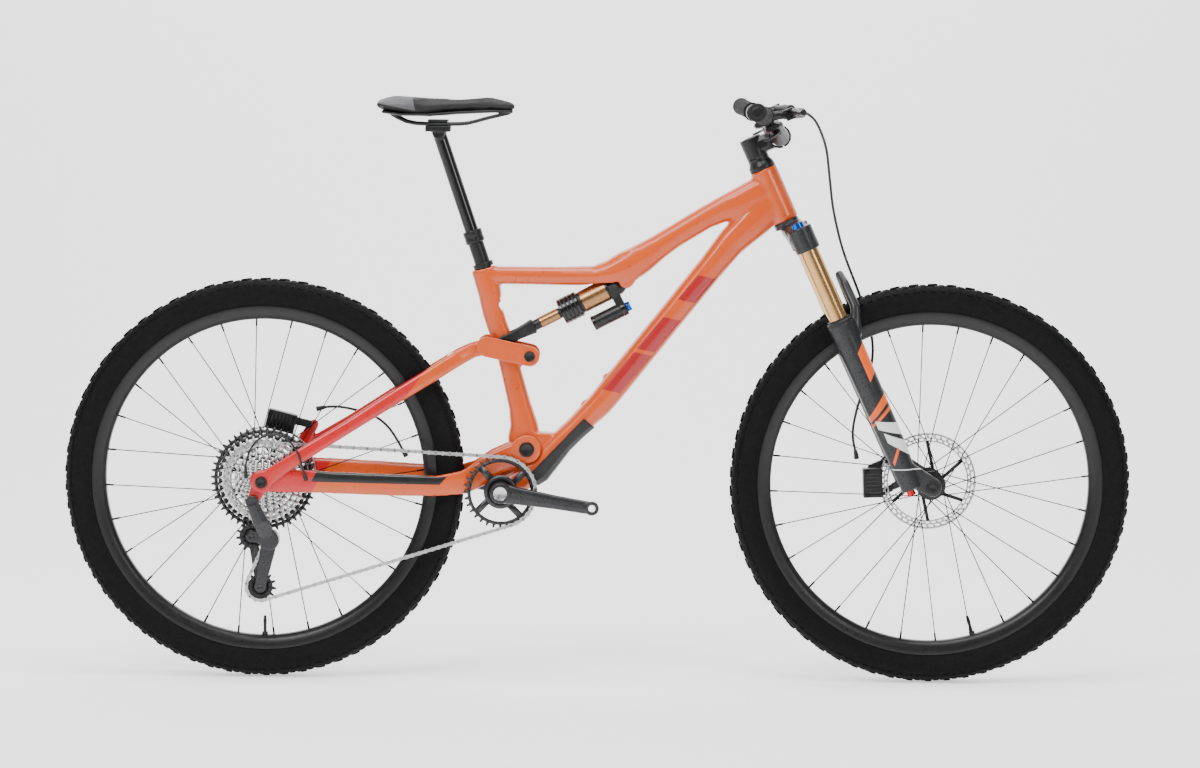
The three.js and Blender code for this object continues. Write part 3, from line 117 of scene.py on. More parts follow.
def smoothRoute(points, pieces=5):
    # A curve that passes through every point.
    ends = [points[0] * 2 - points[1]] + points + [points[-1] * 2 - points[-2]]
    route = []
    for a, b, c, d in zip(ends, ends[1:], ends[2:], ends[3:]):
        for i in range(pieces):
            t = i / pieces
            route.append((b * 2 + (c - a) * t + (a * 2 - b * 5 + c * 4 - d) * t ** 2
                          + (b * 3 - a - c * 3 + d) * t ** 3) / 2)
    return route + [points[-1]]


def bakedMesh(piece):
    graph = bpy.context.evaluated_depsgraph_get()
    mesh = bpy.data.meshes.new_from_object(piece.evaluated_get(graph))
    bpy.data.objects.remove(piece)
    return mesh


def tubeMesh(name, route, radius, sides=3):
    curve = bpy.data.curves.new(name, "CURVE")
    curve.dimensions = "3D"
    spline = curve.splines.new("POLY")
    spline.points.add(len(route) - 1)
    for point, place in zip(spline.points, route):
        point.co = (*place, 1)
    curve.bevel_depth = radius
    curve.bevel_resolution = sides
    curve.use_fill_caps = True
    loose = bpy.data.objects.new(name + "_loose", curve)
    bpy.context.scene.collection.objects.link(loose)
    return bakedMesh(loose)


def addCord(name, points, radius, node):
    route = smoothRoute([Vector(p) for p in points])
    cord = bpy.data.objects.new(name, tubeMesh(name, route, radius))
    bpy.context.scene.collection.objects.link(cord)
    cord.data.polygons.foreach_set("use_smooth", [True] * len(cord.data.polygons))
    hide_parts(node)
    return cord


fromRear = [tuple(rearHub + Vector(p)) for p in rearHoseRoute]
frontHose = addCord("front_brake_hose", frontHoseRoute, hoseSet["hose"], "front_hose")
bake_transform(frontHose)
rearHose = addCord("rear_brake_hose", fromRear, hoseSet["hose"], "rear_hose")
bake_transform(rearHose)
gearHousing = addCord("gear_housing_loop", [tuple(rearHub + Vector(p)) for p in housingRoute], hoseSet["housing"],
                      "gear_housing")
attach(gearHousing, "swingarm")
cords = [frontHose, rearHose, gearHousing]
print("cords made")

# ---- Material helpers ----


class Finish:
    def __init__(self, name, colour, roughness, metallic=0.0, coat=0.0, coatRoughness=0.05, ior=1.5):
        self.material = bpy.data.materials.new(name)
        self.material.use_nodes = True
        self.nodes = self.material.node_tree.nodes
        self.links = self.material.node_tree.links
        self.shader = self.nodes["Principled BSDF"]
        self.colour = (*colour, 1)
        self.shader.inputs["Base Color"].default_value = self.colour
        self.shader.inputs["Roughness"].default_value = roughness
        self.shader.inputs["Metallic"].default_value = metallic
        self.shader.inputs["Coat Weight"].default_value = coat
        self.shader.inputs["Coat Roughness"].default_value = coatRoughness
        self.shader.inputs["IOR"].default_value = ior
        self.place = self.nodes.new("ShaderNodeTexCoord").outputs["Object"]

    def add(self, kind, **settings):
        node = self.nodes.new("ShaderNode" + kind)
        for key, value in settings.items():
            setattr(node, key, value)
        return node

    def noise(self, scale, detail=3.0, stretch=(1, 1, 1)):
        mapping = self.add("Mapping")
        mapping.inputs["Scale"].default_value = stretch
        texture = self.add("TexNoise")
        texture.inputs["Scale"].default_value = scale
        texture.inputs["Detail"].default_value = detail
        self.links.new(self.place, mapping.inputs["Vector"])
        self.links.new(mapping.outputs["Vector"], texture.inputs["Vector"])
        return texture.outputs["Fac"]

    def spread(self, value, low, high, fromLow=0.3, fromHigh=0.7):
        remap = self.add("MapRange")
        self.links.new(value, remap.inputs["Value"])
        for socket, number in (("From Min", fromLow), ("From Max", fromHigh), ("To Min", low), ("To Max", high)):
            remap.inputs[socket].default_value = number
        return remap.outputs["Result"]

    def mottle(self, value, other):
        # The colour drifts towards another one where the value is high.
        mix = self.add("Mix", data_type="RGBA")
        mix.inputs["A"].default_value = self.colour
        mix.inputs["B"].default_value = (*other, 1)
        self.links.new(value, mix.inputs["Factor"])
        self.links.new(mix.outputs["Result"], self.shader.inputs["Base Color"])
        return self

    def roughen(self, value):
        self.links.new(value, self.shader.inputs["Roughness"])
        return self

    def bump(self, value, strength, distance):
        node = self.add("Bump")
        node.inputs["Strength"].default_value = strength
        node.inputs["Distance"].default_value = distance
        self.links.new(value, node.inputs["Height"])
        previous = [l.from_socket for l in self.links if l.to_socket == self.shader.inputs["Normal"]]
        if previous:
            self.links.new(previous[0], node.inputs["Normal"])
        self.links.new(node.outputs["Normal"], self.shader.inputs["Normal"])
        return self

    def axis(self, name):
        parts = self.add("SeparateXYZ")
        self.links.new(self.place, parts.inputs["Vector"])
        return parts.outputs[name]

    def sumOf(self, first, second, operation="ADD"):
        node = self.add("Math", operation=operation)
        for socket, value in zip(node.inputs, (first, second)):
            if isinstance(value, (int, float)):
                socket.default_value = value
            else:
                self.links.new(value, socket)
        return node.outputs["Value"]


def paintFinish(name, colour, deep):
    finish = Finish(name, colour, 0.4, metallic=0.0, coat=0.25, coatRoughness=0.08)
    finish.mottle(finish.spread(finish.noise(900, 2), 0.0, 0.22), deep)
    finish.roughen(finish.spread(finish.noise(60), 0.26, 0.36))
    return finish.bump(finish.noise(1400, 1), 0.03, 0.0002)


def metalFinish(name, colour, roughness, metallic=0.9, worn=1.5):
    finish = Finish(name, colour, roughness, metallic=metallic)
    finish.mottle(finish.spread(finish.noise(45), 0, 0.5), [c * worn for c in colour])
    finish.roughen(finish.spread(finish.noise(220, 5), roughness * 0.8, roughness * 1.3))
    return finish.bump(finish.noise(900, 4), 0.08, 0.0002)


def plasticFinish(name, colour, roughness, grain=1800, strength=0.25, shine=0.35):
    finish = Finish(name, colour, roughness)
    finish.shader.inputs["Specular IOR Level"].default_value = shine
    finish.mottle(finish.spread(finish.noise(80), 0, 0.6), [c * 1.8 for c in colour])
    finish.roughen(finish.spread(finish.noise(300, 4), roughness * 0.85, min(1, roughness * 1.2)))
    return finish.bump(finish.noise(grain, 3), strength, 0.0003)


finishes = {
    "orange": paintFinish("orange_paint", (0.58, 0.072, 0.001), (0.42, 0.03, 0.001)),
    "framePaint": paintFinish("frame_orange_paint", (0.58, 0.072, 0.001), (0.42, 0.03, 0.001)),
    "armPaint": paintFinish("swingarm_paint", (0.58, 0.072, 0.001), (0.42, 0.03, 0.001)),
    "stayPaint": paintFinish("seatstay_paint", (0.58, 0.072, 0.001), (0.42, 0.03, 0.001)),
    "blackMetal": metalFinish("black_anodised", (0.006, 0.006, 0.0065), 0.34, metallic=0.3),
    "blackGloss": metalFinish("black_polished", (0.004, 0.004, 0.0045), 0.12, metallic=0.1),
    "blackPlastic": plasticFinish("black_plastic", (0.007, 0.007, 0.0075), 0.45),
    "forkGrey": plasticFinish("fork_grey", (0.014, 0.0145, 0.016), 0.3, grain=300, strength=0.01),
    "forkLegs": plasticFinish("fork_leg_grey", (0.014, 0.0145, 0.016), 0.3, grain=300, strength=0.01),
    "gold": metalFinish("gold_coat", (0.55, 0.32, 0.13), 0.18, metallic=1.0, worn=1.15),
    "bronze": metalFinish("bronze_coat", (0.3, 0.16, 0.07), 0.25, metallic=0.9, worn=1.2),
    "steel": metalFinish("ground_steel", (0.55, 0.55, 0.55), 0.28, metallic=1.0, worn=1.1),
    "chainSteel": metalFinish("chain_steel", (0.42, 0.42, 0.42), 0.3, metallic=1.0, worn=1.2),
    "darkMetal": metalFinish("dark_metal", (0.03, 0.03, 0.032), 0.3, metallic=0.6),
    "blue": metalFinish("blue_anodised", (0.01, 0.12, 0.55), 0.25, metallic=0.9, worn=1.1),
    "red": metalFinish("red_anodised", (0.55, 0.01, 0.01), 0.25, metallic=0.9, worn=1.1),
    "rubber": plasticFinish("tyre_rubber", (0.0028, 0.0028, 0.003), 0.7, grain=900, strength=0.3, shine=0.12),
    "gripRubber": plasticFinish("grip_rubber", (0.007, 0.007, 0.007), 0.7, grain=1500, strength=0.4),
    "hose": plasticFinish("hose_jacket", (0.01, 0.01, 0.01), 0.4, grain=2500, strength=0.1),
    "spoke": plasticFinish("black_steel", (0.003, 0.003, 0.003), 0.5, grain=300, strength=0.01, shine=0.15),
    "saddle": plasticFinish("saddle_cover", (0.008, 0.008, 0.0085), 0.55, grain=1500, strength=0.35),
}


# Adds nodes that paint another colour where the mask is 1.
def paintOver(finish, mask, colour):
    before = [l.from_socket for l in finish.links if l.to_socket == finish.shader.inputs["Base Color"]][0]
    mix = finish.add("Mix", data_type="RGBA")
    finish.links.new(before, mix.inputs["A"])
    mix.inputs["B"].default_value = (*colour, 1)
    finish.links.new(mask, mix.inputs["Factor"])
    finish.links.new(mix.outputs["Result"], finish.shader.inputs["Base Color"])


# Distance past a line in the side view, from a point (x, z) and the way the line's normal faces.
def pastLine(finish, point, normal):
    length = math.hypot(*normal)
    x, z = normal[0] / length, normal[1] / length
    along = finish.sumOf(finish.sumOf(finish.axis("X"), x, "MULTIPLY"), finish.sumOf(finish.axis("Z"), z, "MULTIPLY"))
    return finish.sumOf(along, -(point[0] * x + point[1] * z))


# A mask that is 1 where every given distance is positive, with a soft edge of half a millimetre.
def inside(finish, *distances):
    masks = [finish.spread(d, 0, 1, -0.0003, 0.0003) for d in distances]
    result = masks[0]
    for mask in masks[1:]:
        result = finish.sumOf(result, mask, "MULTIPLY")
    return result


darkRed = (0.33, 0.004, 0.006)
brightRed = (0.5, 0.004, 0.006)
orangePrint = (0.75, 0.1, 0.01)
whitePrint = (0.7, 0.7, 0.7)


def paintStripes():
    frameFinish, arm, stay = finishes["framePaint"], finishes["armPaint"], finishes["stayPaint"]
    # Slanted blocks along the down tube
    foot, way = (0.0307, 0.5472), (0.635, 0.7724)
    across = (-way[1], way[0])
    for start, end in ((-0.012, 0.078), (0.086, 0.162), (0.204, 0.262)):
        first = (foot[0] + way[0] * start, foot[1] + way[1] * start)
        last = (foot[0] + way[0] * end, foot[1] + way[1] * end)
        slant = (way[0] + 0.5 * across[0], way[1] + 0.5 * across[1])
        mask = inside(
            frameFinish, pastLine(frameFinish, first, slant), pastLine(frameFinish, last, (-slant[0], -slant[1])),
            pastLine(frameFinish, (foot[0] - across[0] * 0.016, foot[1] - across[1] * 0.016), across),
            pastLine(frameFinish, (foot[0] + across[0] * 0.014, foot[1] + across[1] * 0.014), (-across[0],
                -across[1])))
        paintOver(frameFinish, mask, darkRed)
    # Red dropouts, and a black guard along the top of the right chainstay
    hub = (rearHub.x, rearHub.z)
    paintOver(arm, inside(arm, pastLine(arm, (hub[0] + 0.089, hub[1] - 0.022), (-35, 21))), brightRed)
    guard = inside(arm, pastLine(arm, (hub[0] + 0.085, hub[1] + 0.001), (0.03, 1)),
                   pastLine(arm, (hub[0] + 0.089, hub[1]), (1, -0.6)),
                   pastLine(arm, (hub[0] + 0.33, hub[1]), (-1, 0.9)),
                   arm.sumOf(arm.sumOf(arm.axis("Y"), -1, "MULTIPLY"), -0.045))
    paintOver(arm, guard, (0.006, 0.006, 0.006))
    paintOver(stay, inside(stay, pastLine(stay, (hub[0] + 0.249, hub[1] + 0.139), (-47, 35))), brightRed)


paintStripes()


def paintLegs():
    # Prints on the outer face of the right leg: bands across it at distances below the head tube.
    legs = finishes["forkLegs"]
    away = (-jointAxis["steering_turn"].x, -jointAxis["steering_turn"].z)
    ahead = (-away[1], away[0])
    origin = (jointPlace["steering_turn"].x, jointPlace["steering_turn"].z)
    outer = legs.sumOf(legs.sumOf(legs.axis("Y"), -1, "MULTIPLY"), -0.066)

    def line(down, forward, tilt, sign=1):
        point = (origin[0] + away[0] * down + ahead[0] * forward, origin[1] + away[1] * down + ahead[1] * forward)
        normal = (sign * (away[0] + tilt * ahead[0]), sign * (away[1] + tilt * ahead[1]))
        return pastLine(legs, point, normal)

    def aheadOf(forward, sign=1):
        point = (origin[0] + ahead[0] * forward, origin[1] + ahead[1] * forward)
        return pastLine(legs, point, (sign * ahead[0], sign * ahead[1]))

    prints = (
        (orangePrint, (line(0.262, 0.03, 0.9), line(0.32, 0.03, 0.9, -1), aheadOf(0.021))),
        (orangePrint, (line(0.372, 0.015, 0.7), line(0.386, 0.015, 0.55, -1))),
        (orangePrint, (line(0.392, 0.015, 0.5), line(0.398, 0.015, 0.45, -1))),
        (whitePrint, (line(0.405, 0.015, -0.5), line(0.425, 0.015, -0.7, -1), aheadOf(0.0))),
        (whitePrint, (line(0.432, 0.015, -0.9), line(0.455, 0.015, -1.3, -1), aheadOf(0.006))),
        (orangePrint, (line(0.462, 0.015, 1.2), line(0.47, 0.015, 1.2, -1), aheadOf(0.0), aheadOf(0.02, -1))),
        (whitePrint, (line(0.5, 0.015, -0.4), line(0.502, 0.015, -0.4, -1))),
    )
    for colour, edges in prints:
        paintOver(legs, inside(legs, outer, *edges), colour)


paintLegs()
for cord in cords:
    cord.data.materials.clear()
    cord.data.materials.append(finishes["hose"].material)
print("finishes made")

# ---- Mesh helpers ----


def addPiece(name, mesh, finish, body, stands=()):
    piece = bpy.data.objects.new(name, mesh)
    bpy.context.scene.collection.objects.link(piece)
    mesh.materials.clear()
    mesh.materials.append(finishes[finish].material)
    mesh.polygons.foreach_set("use_smooth", [True] * len(mesh.polygons))
    if body:
        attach(piece, body)
    if stands:
        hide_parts(*stands)
    return piece


def meshOf(bm, name):
    bmesh.ops.remove_doubles(bm, verts=bm.verts, dist=1e-6)
    bmesh.ops.recalc_face_normals(bm, faces=bm.faces)
    mesh = bpy.data.meshes.new(name)
    bm.to_mesh(mesh)
    bm.free()
    return mesh


def sharpened(mesh, angle=35):
    # Smooth shading that stops at edges sharper than the angle.
    mesh.polygons.foreach_set("use_smooth", [True] * len(mesh.polygons))
    mesh.set_sharp_from_angle(angle=math.radians(angle))
    return mesh


# A CAD piece's own shape with its edges rounded and its facets smoothed away.
def softened(node, voxel, rounds):
    bm = bmesh.new()
    bm.from_mesh(frame["nodes"][node].data)
    bmesh.ops.remove_doubles(bm, verts=bm.verts, dist=2e-5)
    mesh = bpy.data.meshes.new(node + "_soft")
    bm.to_mesh(mesh)
    bm.free()
    rough = bpy.data.objects.new(node + "_rough", mesh)
    bpy.context.scene.collection.objects.link(rough)
    remesh = rough.modifiers.new("remesh", "REMESH")
    remesh.mode = "VOXEL"
    remesh.voxel_size = voxel
    smooth = rough.modifiers.new("smooth", "SMOOTH")
    smooth.factor = 0.5
    smooth.iterations = rounds
    swell = rough.modifiers.new("swell", "DISPLACE")
    swell.mid_level = 0
    swell.strength = voxel * 0.035 * rounds ** 0.7
    return bakedMesh(rough)


def addSoftened(node, finish, voxel, rounds, body, name=None):
    mesh = softened(node, voxel, rounds)
    return addPiece(name or node + "_skin", mesh, finish, body, stands=[node])


# The matrix that takes +Z to a direction, at a place.
def standing(place, direction):
    turn = Vector((0, 0, 1)).rotation_difference(Vector(direction)).to_matrix().to_4x4()
    return Matrix.Translation(Vector(place)) @ turn


def addRod(bm, start, end, radius, endRadius=None, segments=12):
    start, end = Vector(start), Vector(end)
    matrix = standing((start + end) / 2, end - start)
    bmesh.ops.create_cone(
        bm, cap_ends=True, segments=segments, radius1=radius,
        radius2=radius if endRadius is None else endRadius, depth=(end - start).length, matrix=matrix)


def addBox(bm, place, size, matrix=Matrix.Identity(4)):
    scale = Matrix.Diagonal((*size, 1))
    return bmesh.ops.create_cube(bm, size=1, matrix=matrix @ Matrix.Translation(Vector(place)) @ scale)["verts"]


# A closed profile of (radius, along) spun about a direction.
def addTurned(bm, profile, place=(0, 0, 0), direction=(0, 0, 1), steps=64):
    verts = [bm.verts.new((r, 0, z)) for r, z in profile]
    edges = [bm.edges.new((verts[i], verts[(i + 1) % len(verts)])) for i in range(len(verts))]
    bmesh.ops.spin(bm, geom=verts + edges, cent=(0, 0, 0), axis=(0, 0, 1),
                   angle=2 * math.pi, steps=steps, use_merge=True)
    made = {v for f in bm.faces for v in f.verts if not v.tag}
    bmesh.ops.transform(bm, matrix=standing(place, direction), verts=list(made))
    for v in bm.verts:
        v.tag = True


def turnedMesh(name, parts, steps=64, angle=35):
    # parts: (profile, place, direction)
    bm = bmesh.new()
    for profile, place, direction in parts:
        addTurned(bm, profile, place, direction, steps)
    return sharpened(meshOf(bm, name), angle)


def addRing(bm, inner, outer, thickness, place, steps=72, shape=None):
    # A flat ring about the Y axis. The shape gives extra radius at each of its outer corners.
    loops = []
    for radius in (inner, outer):
        circle = bmesh.ops.create_circle(bm, cap_ends=False, segments=steps, radius=radius)["verts"]
        if shape and radius == outer:
            for i, v in enumerate(circle):
                v.co *= 1 + shape(i) / radius
        loops.append(circle)
    edges = [e for loop in loops for v in loop for e in v.link_edges]
    bridged = bmesh.ops.bridge_loops(bm, edges=list(set(edges)))["faces"]
    pushed = bmesh.ops.extrude_face_region(bm, geom=bridged)["geom"]
    top = [g for g in pushed if isinstance(g, bmesh.types.BMVert)]
    bmesh.ops.translate(bm, verts=top, vec=(0, 0, thickness))
    verts = loops[0] + loops[1] + top
    turn = Matrix.Rotation(math.radians(-90), 4, "X")
    centred = Matrix.Translation((0, -thickness / 2, 0))
    bmesh.ops.transform(bm, matrix=Matrix.Translation(Vector(place)) @ centred @ turn, verts=verts)


def addArms(bm, count, inner, outer, width, thickness, place, slant=0.0, start=0.0):
    for i in range(count):
        angle = start + 2 * math.pi * i / count
        foot = Vector((math.cos(angle), 0, math.sin(angle))) * inner
        head = Vector((math.cos(angle + slant), 0, math.sin(angle + slant))) * outer
        way = head - foot
        turn = Matrix.Rotation(-math.atan2(way.z, way.x), 4, "Y")
        matrix = Matrix.Translation(Vector(place) + (foot + head) / 2) @ turn
        addBox(bm, (0, 0, 0), (way.length, thickness, width), matrix)


def addBolt(bm, place, direction, radius, height):
    # A round head with a hexagon socket.
    head = bmesh.ops.create_cone(bm, cap_ends=True, segments=24, radius1=radius, radius2=radius * 0.92,
                                 depth=height, matrix=standing(place, direction))["verts"]
    along = Vector(direction).normalized()
    top = max({f for v in head for f in v.link_faces}, key=lambda f: f.calc_center_median().dot(along))
    bmesh.ops.inset_region(bm, faces=[top], thickness=radius * 0.45, use_even_offset=True)
    bmesh.ops.translate(bm, verts=top.verts[:], vec=along * (-height * 0.6))


# ---- Wheels ----

tyreSet = {
    "radius": 0.3705,
    "casing": 0.3668,
    "halfWidth": 0.0292,
    "rows": 66,
    "rimEdge": 0.318,
}


def tyreMesh(name, hub):
    edge, casing, half = tyreSet["rimEdge"], tyreSet["casing"], tyreSet["halfWidth"]
    outside = [
        (edge - 0.006, 0.0145), (edge + 0.0015, 0.0166), (edge + 0.008, 0.0215), (edge + 0.017, 0.0272),
        (edge + 0.026, half), (edge + 0.034, half * 0.985), (edge + 0.041, half * 0.86),
        (casing - 0.0025, half * 0.6), (casing - 0.0005, half * 0.3),
    ]
    inside = [(casing - 0.006, half * 0.3), (edge + 0.035, half * 0.8), (edge + 0.017, half * 0.8),
        (edge - 0.006, 0.0115)]
    mirror = [(r, -y) for r, y in reversed(outside)]
    mirrorInside = [(r, -y) for r, y in reversed(inside)]
    bm = bmesh.new()
    addTurned(bm, outside + [(casing, 0)] + mirror + mirrorInside + inside, hub, acrossBike, steps=200)
    step = 2 * math.pi / tyreSet["rows"]
    top = tyreSet["radius"]

    def knob(angle, y, lean, long, wide, tall):
        around = Matrix.Translation(hub) @ Matrix.Rotation(angle, 4, "Y")
        matrix = around @ Matrix.Translation((0, y,
            top - abs(lean) * 0.013 - tall / 2)) @ Matrix.Rotation(-lean, 4, "X")
        verts = addBox(bm, (0, 0, 0), (long, wide, tall), matrix)
        high = sorted(verts, key=lambda v: (v.co - hub).length)[4:]
        middle = sum((v.co for v in high), Vector()) / 4
        for v in high:
            v.co = middle + (v.co - middle) * 0.86

    for i in range(tyreSet["rows"]):
        angle = i * step
        for side in (-1, 1):
            knob(angle + side * 0.1 * step, side * 0.0062, side * 0.1, 0.013, 0.0085, 0.006)
            knob(angle + 0.5 * step, side * 0.0128, side * 0.3, 0.011, 0.0075, 0.006)
            knob(angle + (0.05 if i % 2 else -0.05) * step, side * 0.0233, side * 0.72, 0.0125, 0.009, 0.008)
            knob(angle + 0.5 * step, side * 0.0236, side * 0.72, 0.009, 0.0075, 0.0075)
    return sharpened(meshOf(bm, name), 30)


def rimMesh(name, hub):
    edge = tyreSet["rimEdge"]
    side = [(edge - 0.0245, 0.0055), (edge - 0.0235, 0.009), (edge - 0.0155, 0.0152), (edge - 0.003, 0.0173),
            (edge, 0.0172), (edge + 0.0006, 0.0158), (edge - 0.0075, 0.0148)]
    bm = bmesh.new()
    addTurned(bm, side + [(r, -y) for r, y in reversed(side)], hub, acrossBike, steps=200)
    return sharpened(meshOf(bm, name), 40)


spokeSet = {"count": 28, "radius": 0.001, "nippleRadius": 0.0019, "nippleLength": 0.013, "crossing": 52.0}


def spokeMesh(name, hub, flanges, flangeRadius):
    bm = bmesh.new()
    rimInside = tyreSet["rimEdge"] - 0.0245
    count = spokeSet["count"]
    for i in range(count):
        leads = 1 if (i // 2) % 2 else -1
        side = flanges[i % 2] + leads * 0.0012
        end = (i + 0.25) * 2 * math.pi / count
        start = end + leads * math.radians(spokeSet["crossing"])
        foot = hub + Vector((math.cos(start) * flangeRadius, side, math.sin(start) * flangeRadius))
        head = hub + Vector((math.cos(end) * rimInside, side * 0.06, math.sin(end) * rimInside))
        way = (head - foot).normalized()
        addRod(bm, foot, head, spokeSet["radius"], segments=6)
        addRod(bm, head - way * spokeSet["nippleLength"], head + way * 0.001, spokeSet["nippleRadius"], segments=6)
        addRod(bm, foot + acrossBike * 0.0022 * -leads, foot, 0.0019, segments=6)
    return meshOf(bm, name)


def hubMesh(name, hub, profile):
    bm = bmesh.new()
    closed = profile + [(0.0075, profile[-1][1]), (0.0075, profile[0][1])]
    addTurned(bm, closed, hub, acrossBike, steps=64)
    mesh = meshOf(bm, name)
    return sharpened(mesh, 30)


frontHubProfile = [(r * mm, y * mm) for r, y in (
    (11, -54.5), (11, -43), (15, -42), (16, -41), (26, -39.6), (27, -38.6), (27, -37), (26, -36), (15.5, -33),
    (12, -18), (12, 8), (15.5, 21), (26, 23.4), (27, 24.2), (27, 26), (26, 26.8), (17, 28.5), (16, 34), (16,
        42), (11, 43), (11, 54.5))]
rearHubProfile = [(r * mm, y * mm) for r, y in (
    (9.6, -73.5), (9.6, -30), (19, -29), (22, -28), (32, -26.6), (33, -25.8), (33, -24), (32, -23.2), (20, -20),
    (15, -4), (15, 26), (20, 40), (32, 43.2), (33, 44), (33, 46), (32, 46.8), (20, 48.6), (17, 52), (17,
        61), (10, 62), (10, 73.5))]

rotorSet = {"radius": 0.0898, "thickness": 0.0018, "rungs": 42, "arms": 6}


def rotorMesh(name, place):
    bm = bmesh.new()
    radius, thick = rotorSet["radius"], rotorSet["thickness"]
    for inner, outer in ((0.0735, 0.0762), (0.0796, 0.0818), (0.0862, radius)):
        addRing(bm, inner, outer, thick, place, steps=144)
    rungs = rotorSet["rungs"]
    addArms(bm, rungs, 0.0755, 0.0802, 0.0042, thick * 0.98, place, slant=0.02)
    addArms(bm, rungs, 0.081, 0.0868, 0.0042, thick * 0.98, place, slant=0.02, start=math.pi / rungs)
    return meshOf(bm, name)


def rotorCentreMesh(name, place):
    bm = bmesh.new()
    addRing(bm, 0.0163, 0.024, 0.003, place, steps=48)
    addArms(bm, rotorSet["arms"], 0.021, 0.0748, 0.0062, 0.002, place, slant=0.55)
    for i in range(6):
        angle = i * math.pi / 3
        at = Vector(place) + Vector((math.cos(angle) * 0.0215, 0.0018, math.sin(angle) * 0.0215))
        addBolt(bm, at, acrossBike, 0.0036, 0.002)
    return meshOf(bm, name)


def makeWheel(end, hub, profile, flanges, flangeRadius, rotorSide):
    body = end + "_wheel"
    addPiece(end + "_tyre_tread", tyreMesh(end + "Tyre", hub), "rubber", body, [end + "_tyre"])
    addPiece(end + "_rim_hoop", rimMesh(end + "Rim", hub), "blackMetal", body, [end + "_rim"])
    addPiece(end + "_spokes", spokeMesh(end + "Spokes", hub, flanges, flangeRadius), "spoke", body,
             [end + "_hub_spokes"])
    addPiece(end + "_hub", hubMesh(end + "Hub", hub, profile), "blackMetal", body)
    place = hub + acrossBike * rotorSide
    addPiece(end + "_rotor_band", rotorMesh(end + "Rotor", place), "steel", body, [end + "_rotor"])
    addPiece(end + "_rotor_centre", rotorCentreMesh(end + "RotorCentre", place), "blackMetal", body)
    # Tubeless valve
    bm = bmesh.new()
    down = Vector((0, 0, -1)) if end == "rear" else Vector((0.3, 0, -1)).normalized()
    rimInside = tyreSet["rimEdge"] - 0.024
    foot = hub + down * rimInside
    addRod(bm, foot, foot - down * 0.024, 0.003, segments=16)
    addRod(bm, foot - down * 0.0005, foot - down * 0.006, 0.0055, segments=20)
    addRod(bm, foot - down * 0.024, foot - down * 0.036, 0.0036, 0.0026, segments=16)
    addPiece(end + "_valve", sharpened(meshOf(bm, end + "Valve")), "blackMetal", body)


makeWheel("front", frontHub, frontHubProfile, [-0.038, 0.025], 0.0245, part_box("front_rotor")[0].y + 0.0009)
makeWheel("rear", rearHub, rearHubProfile, [-0.025, 0.045], 0.0305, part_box("rear_rotor")[0].y + 0.0009)
print("wheels made")

# ---- Front frame ----

addSoftened("main_frame", "framePaint", 0.0022, 16, "frame")
addSoftened("down_tube_guard", "blackPlastic", 0.0015, 6, "frame")
addSoftened("swingarm", "armPaint", 0.002, 10, "swingarm")
addSoftened("seatstay", "stayPaint", 0.0018, 10, "seatstay")
addSoftened("rocker_link", "orange", 0.0013, 5, "rocker")
addSoftened("bottom_bracket", "blackMetal", 0.0012, 2, "frame")
addSoftened("seat_clamp", "blackMetal", 0.0008, 3, "frame")
print("frame made")

# ---- Fork ----

steerAxis = jointAxis["steering_turn"]
steerFoot = jointPlace["steering_turn"]
steerAhead = acrossBike.cross(steerAxis).normalized()


def onFork(x, y, z):
    # Millimetres ahead of the steering axis, to the left and up along it, from the foot of the head tube.
    return steerFoot + steerAhead * (x * mm) + acrossBike * (y * mm) + steerAxis * (z * mm)


forkSet = {"legAhead": 14.7, "legSide": 65, "stanchion": 18, "legTop": -209, "shoulderFoot": -63,
    "stanchionFoot": -319}

addSoftened("fork_crown", "forkGrey", 0.0014, 8, "steering")
addSoftened("fork_lowers", "forkLegs", 0.0018, 12, "fork_lowers")
for side, name in ((-1, "right"), (1, "left")):
    y = side * forkSet["legSide"]
    r = forkSet["stanchion"] * mm
    low, high = forkSet["stanchionFoot"] * mm, (forkSet["shoulderFoot"] + 4) * mm
    tube = [(r - 0.002, low), (r, low + 0.002), (r, high), (r - 0.002, high)]
    mesh = turnedMesh("stanchion", [(tube, onFork(forkSet["legAhead"], y, 0), steerAxis)])
    addPiece("stanchion_tube_" + name, mesh, "gold", "steering", ["stanchion_" + name])
    top = forkSet["legTop"] * mm
    seal = [(r + 0.0002, top - 0.004), (r + 0.0068, top - 0.004), (r + 0.0068, top + 0.004), (r + 0.0055,
        top + 0.0055),
            (r + 0.004, top + 0.006), (r + 0.0035, top + 0.009), (r + 0.0004, top + 0.0095)]
    mesh = turnedMesh("seal", [(seal, onFork(forkSet["legAhead"], y, 0), steerAxis)])
    addPiece("wiper_seal_" + name, mesh, "blackPlastic", "fork_lowers")


def dialMesh(name, place, axis, radius, height, teeth):
    bm = bmesh.new()
    circle = bmesh.ops.create_cone(bm, cap_ends=True, segments=teeth * 4, radius1=radius, radius2=radius * 0.94,
                                   depth=height)["verts"]
    for v in circle:
        angle = math.atan2(v.co.y, v.co.x) * teeth
        v.co.xy *= 1 - 0.05 * (math.cos(angle) > 0.3)
    bmesh.ops.transform(bm, matrix=standing(place, axis), verts=bm.verts)
    return sharpened(meshOf(bm, name), 30)


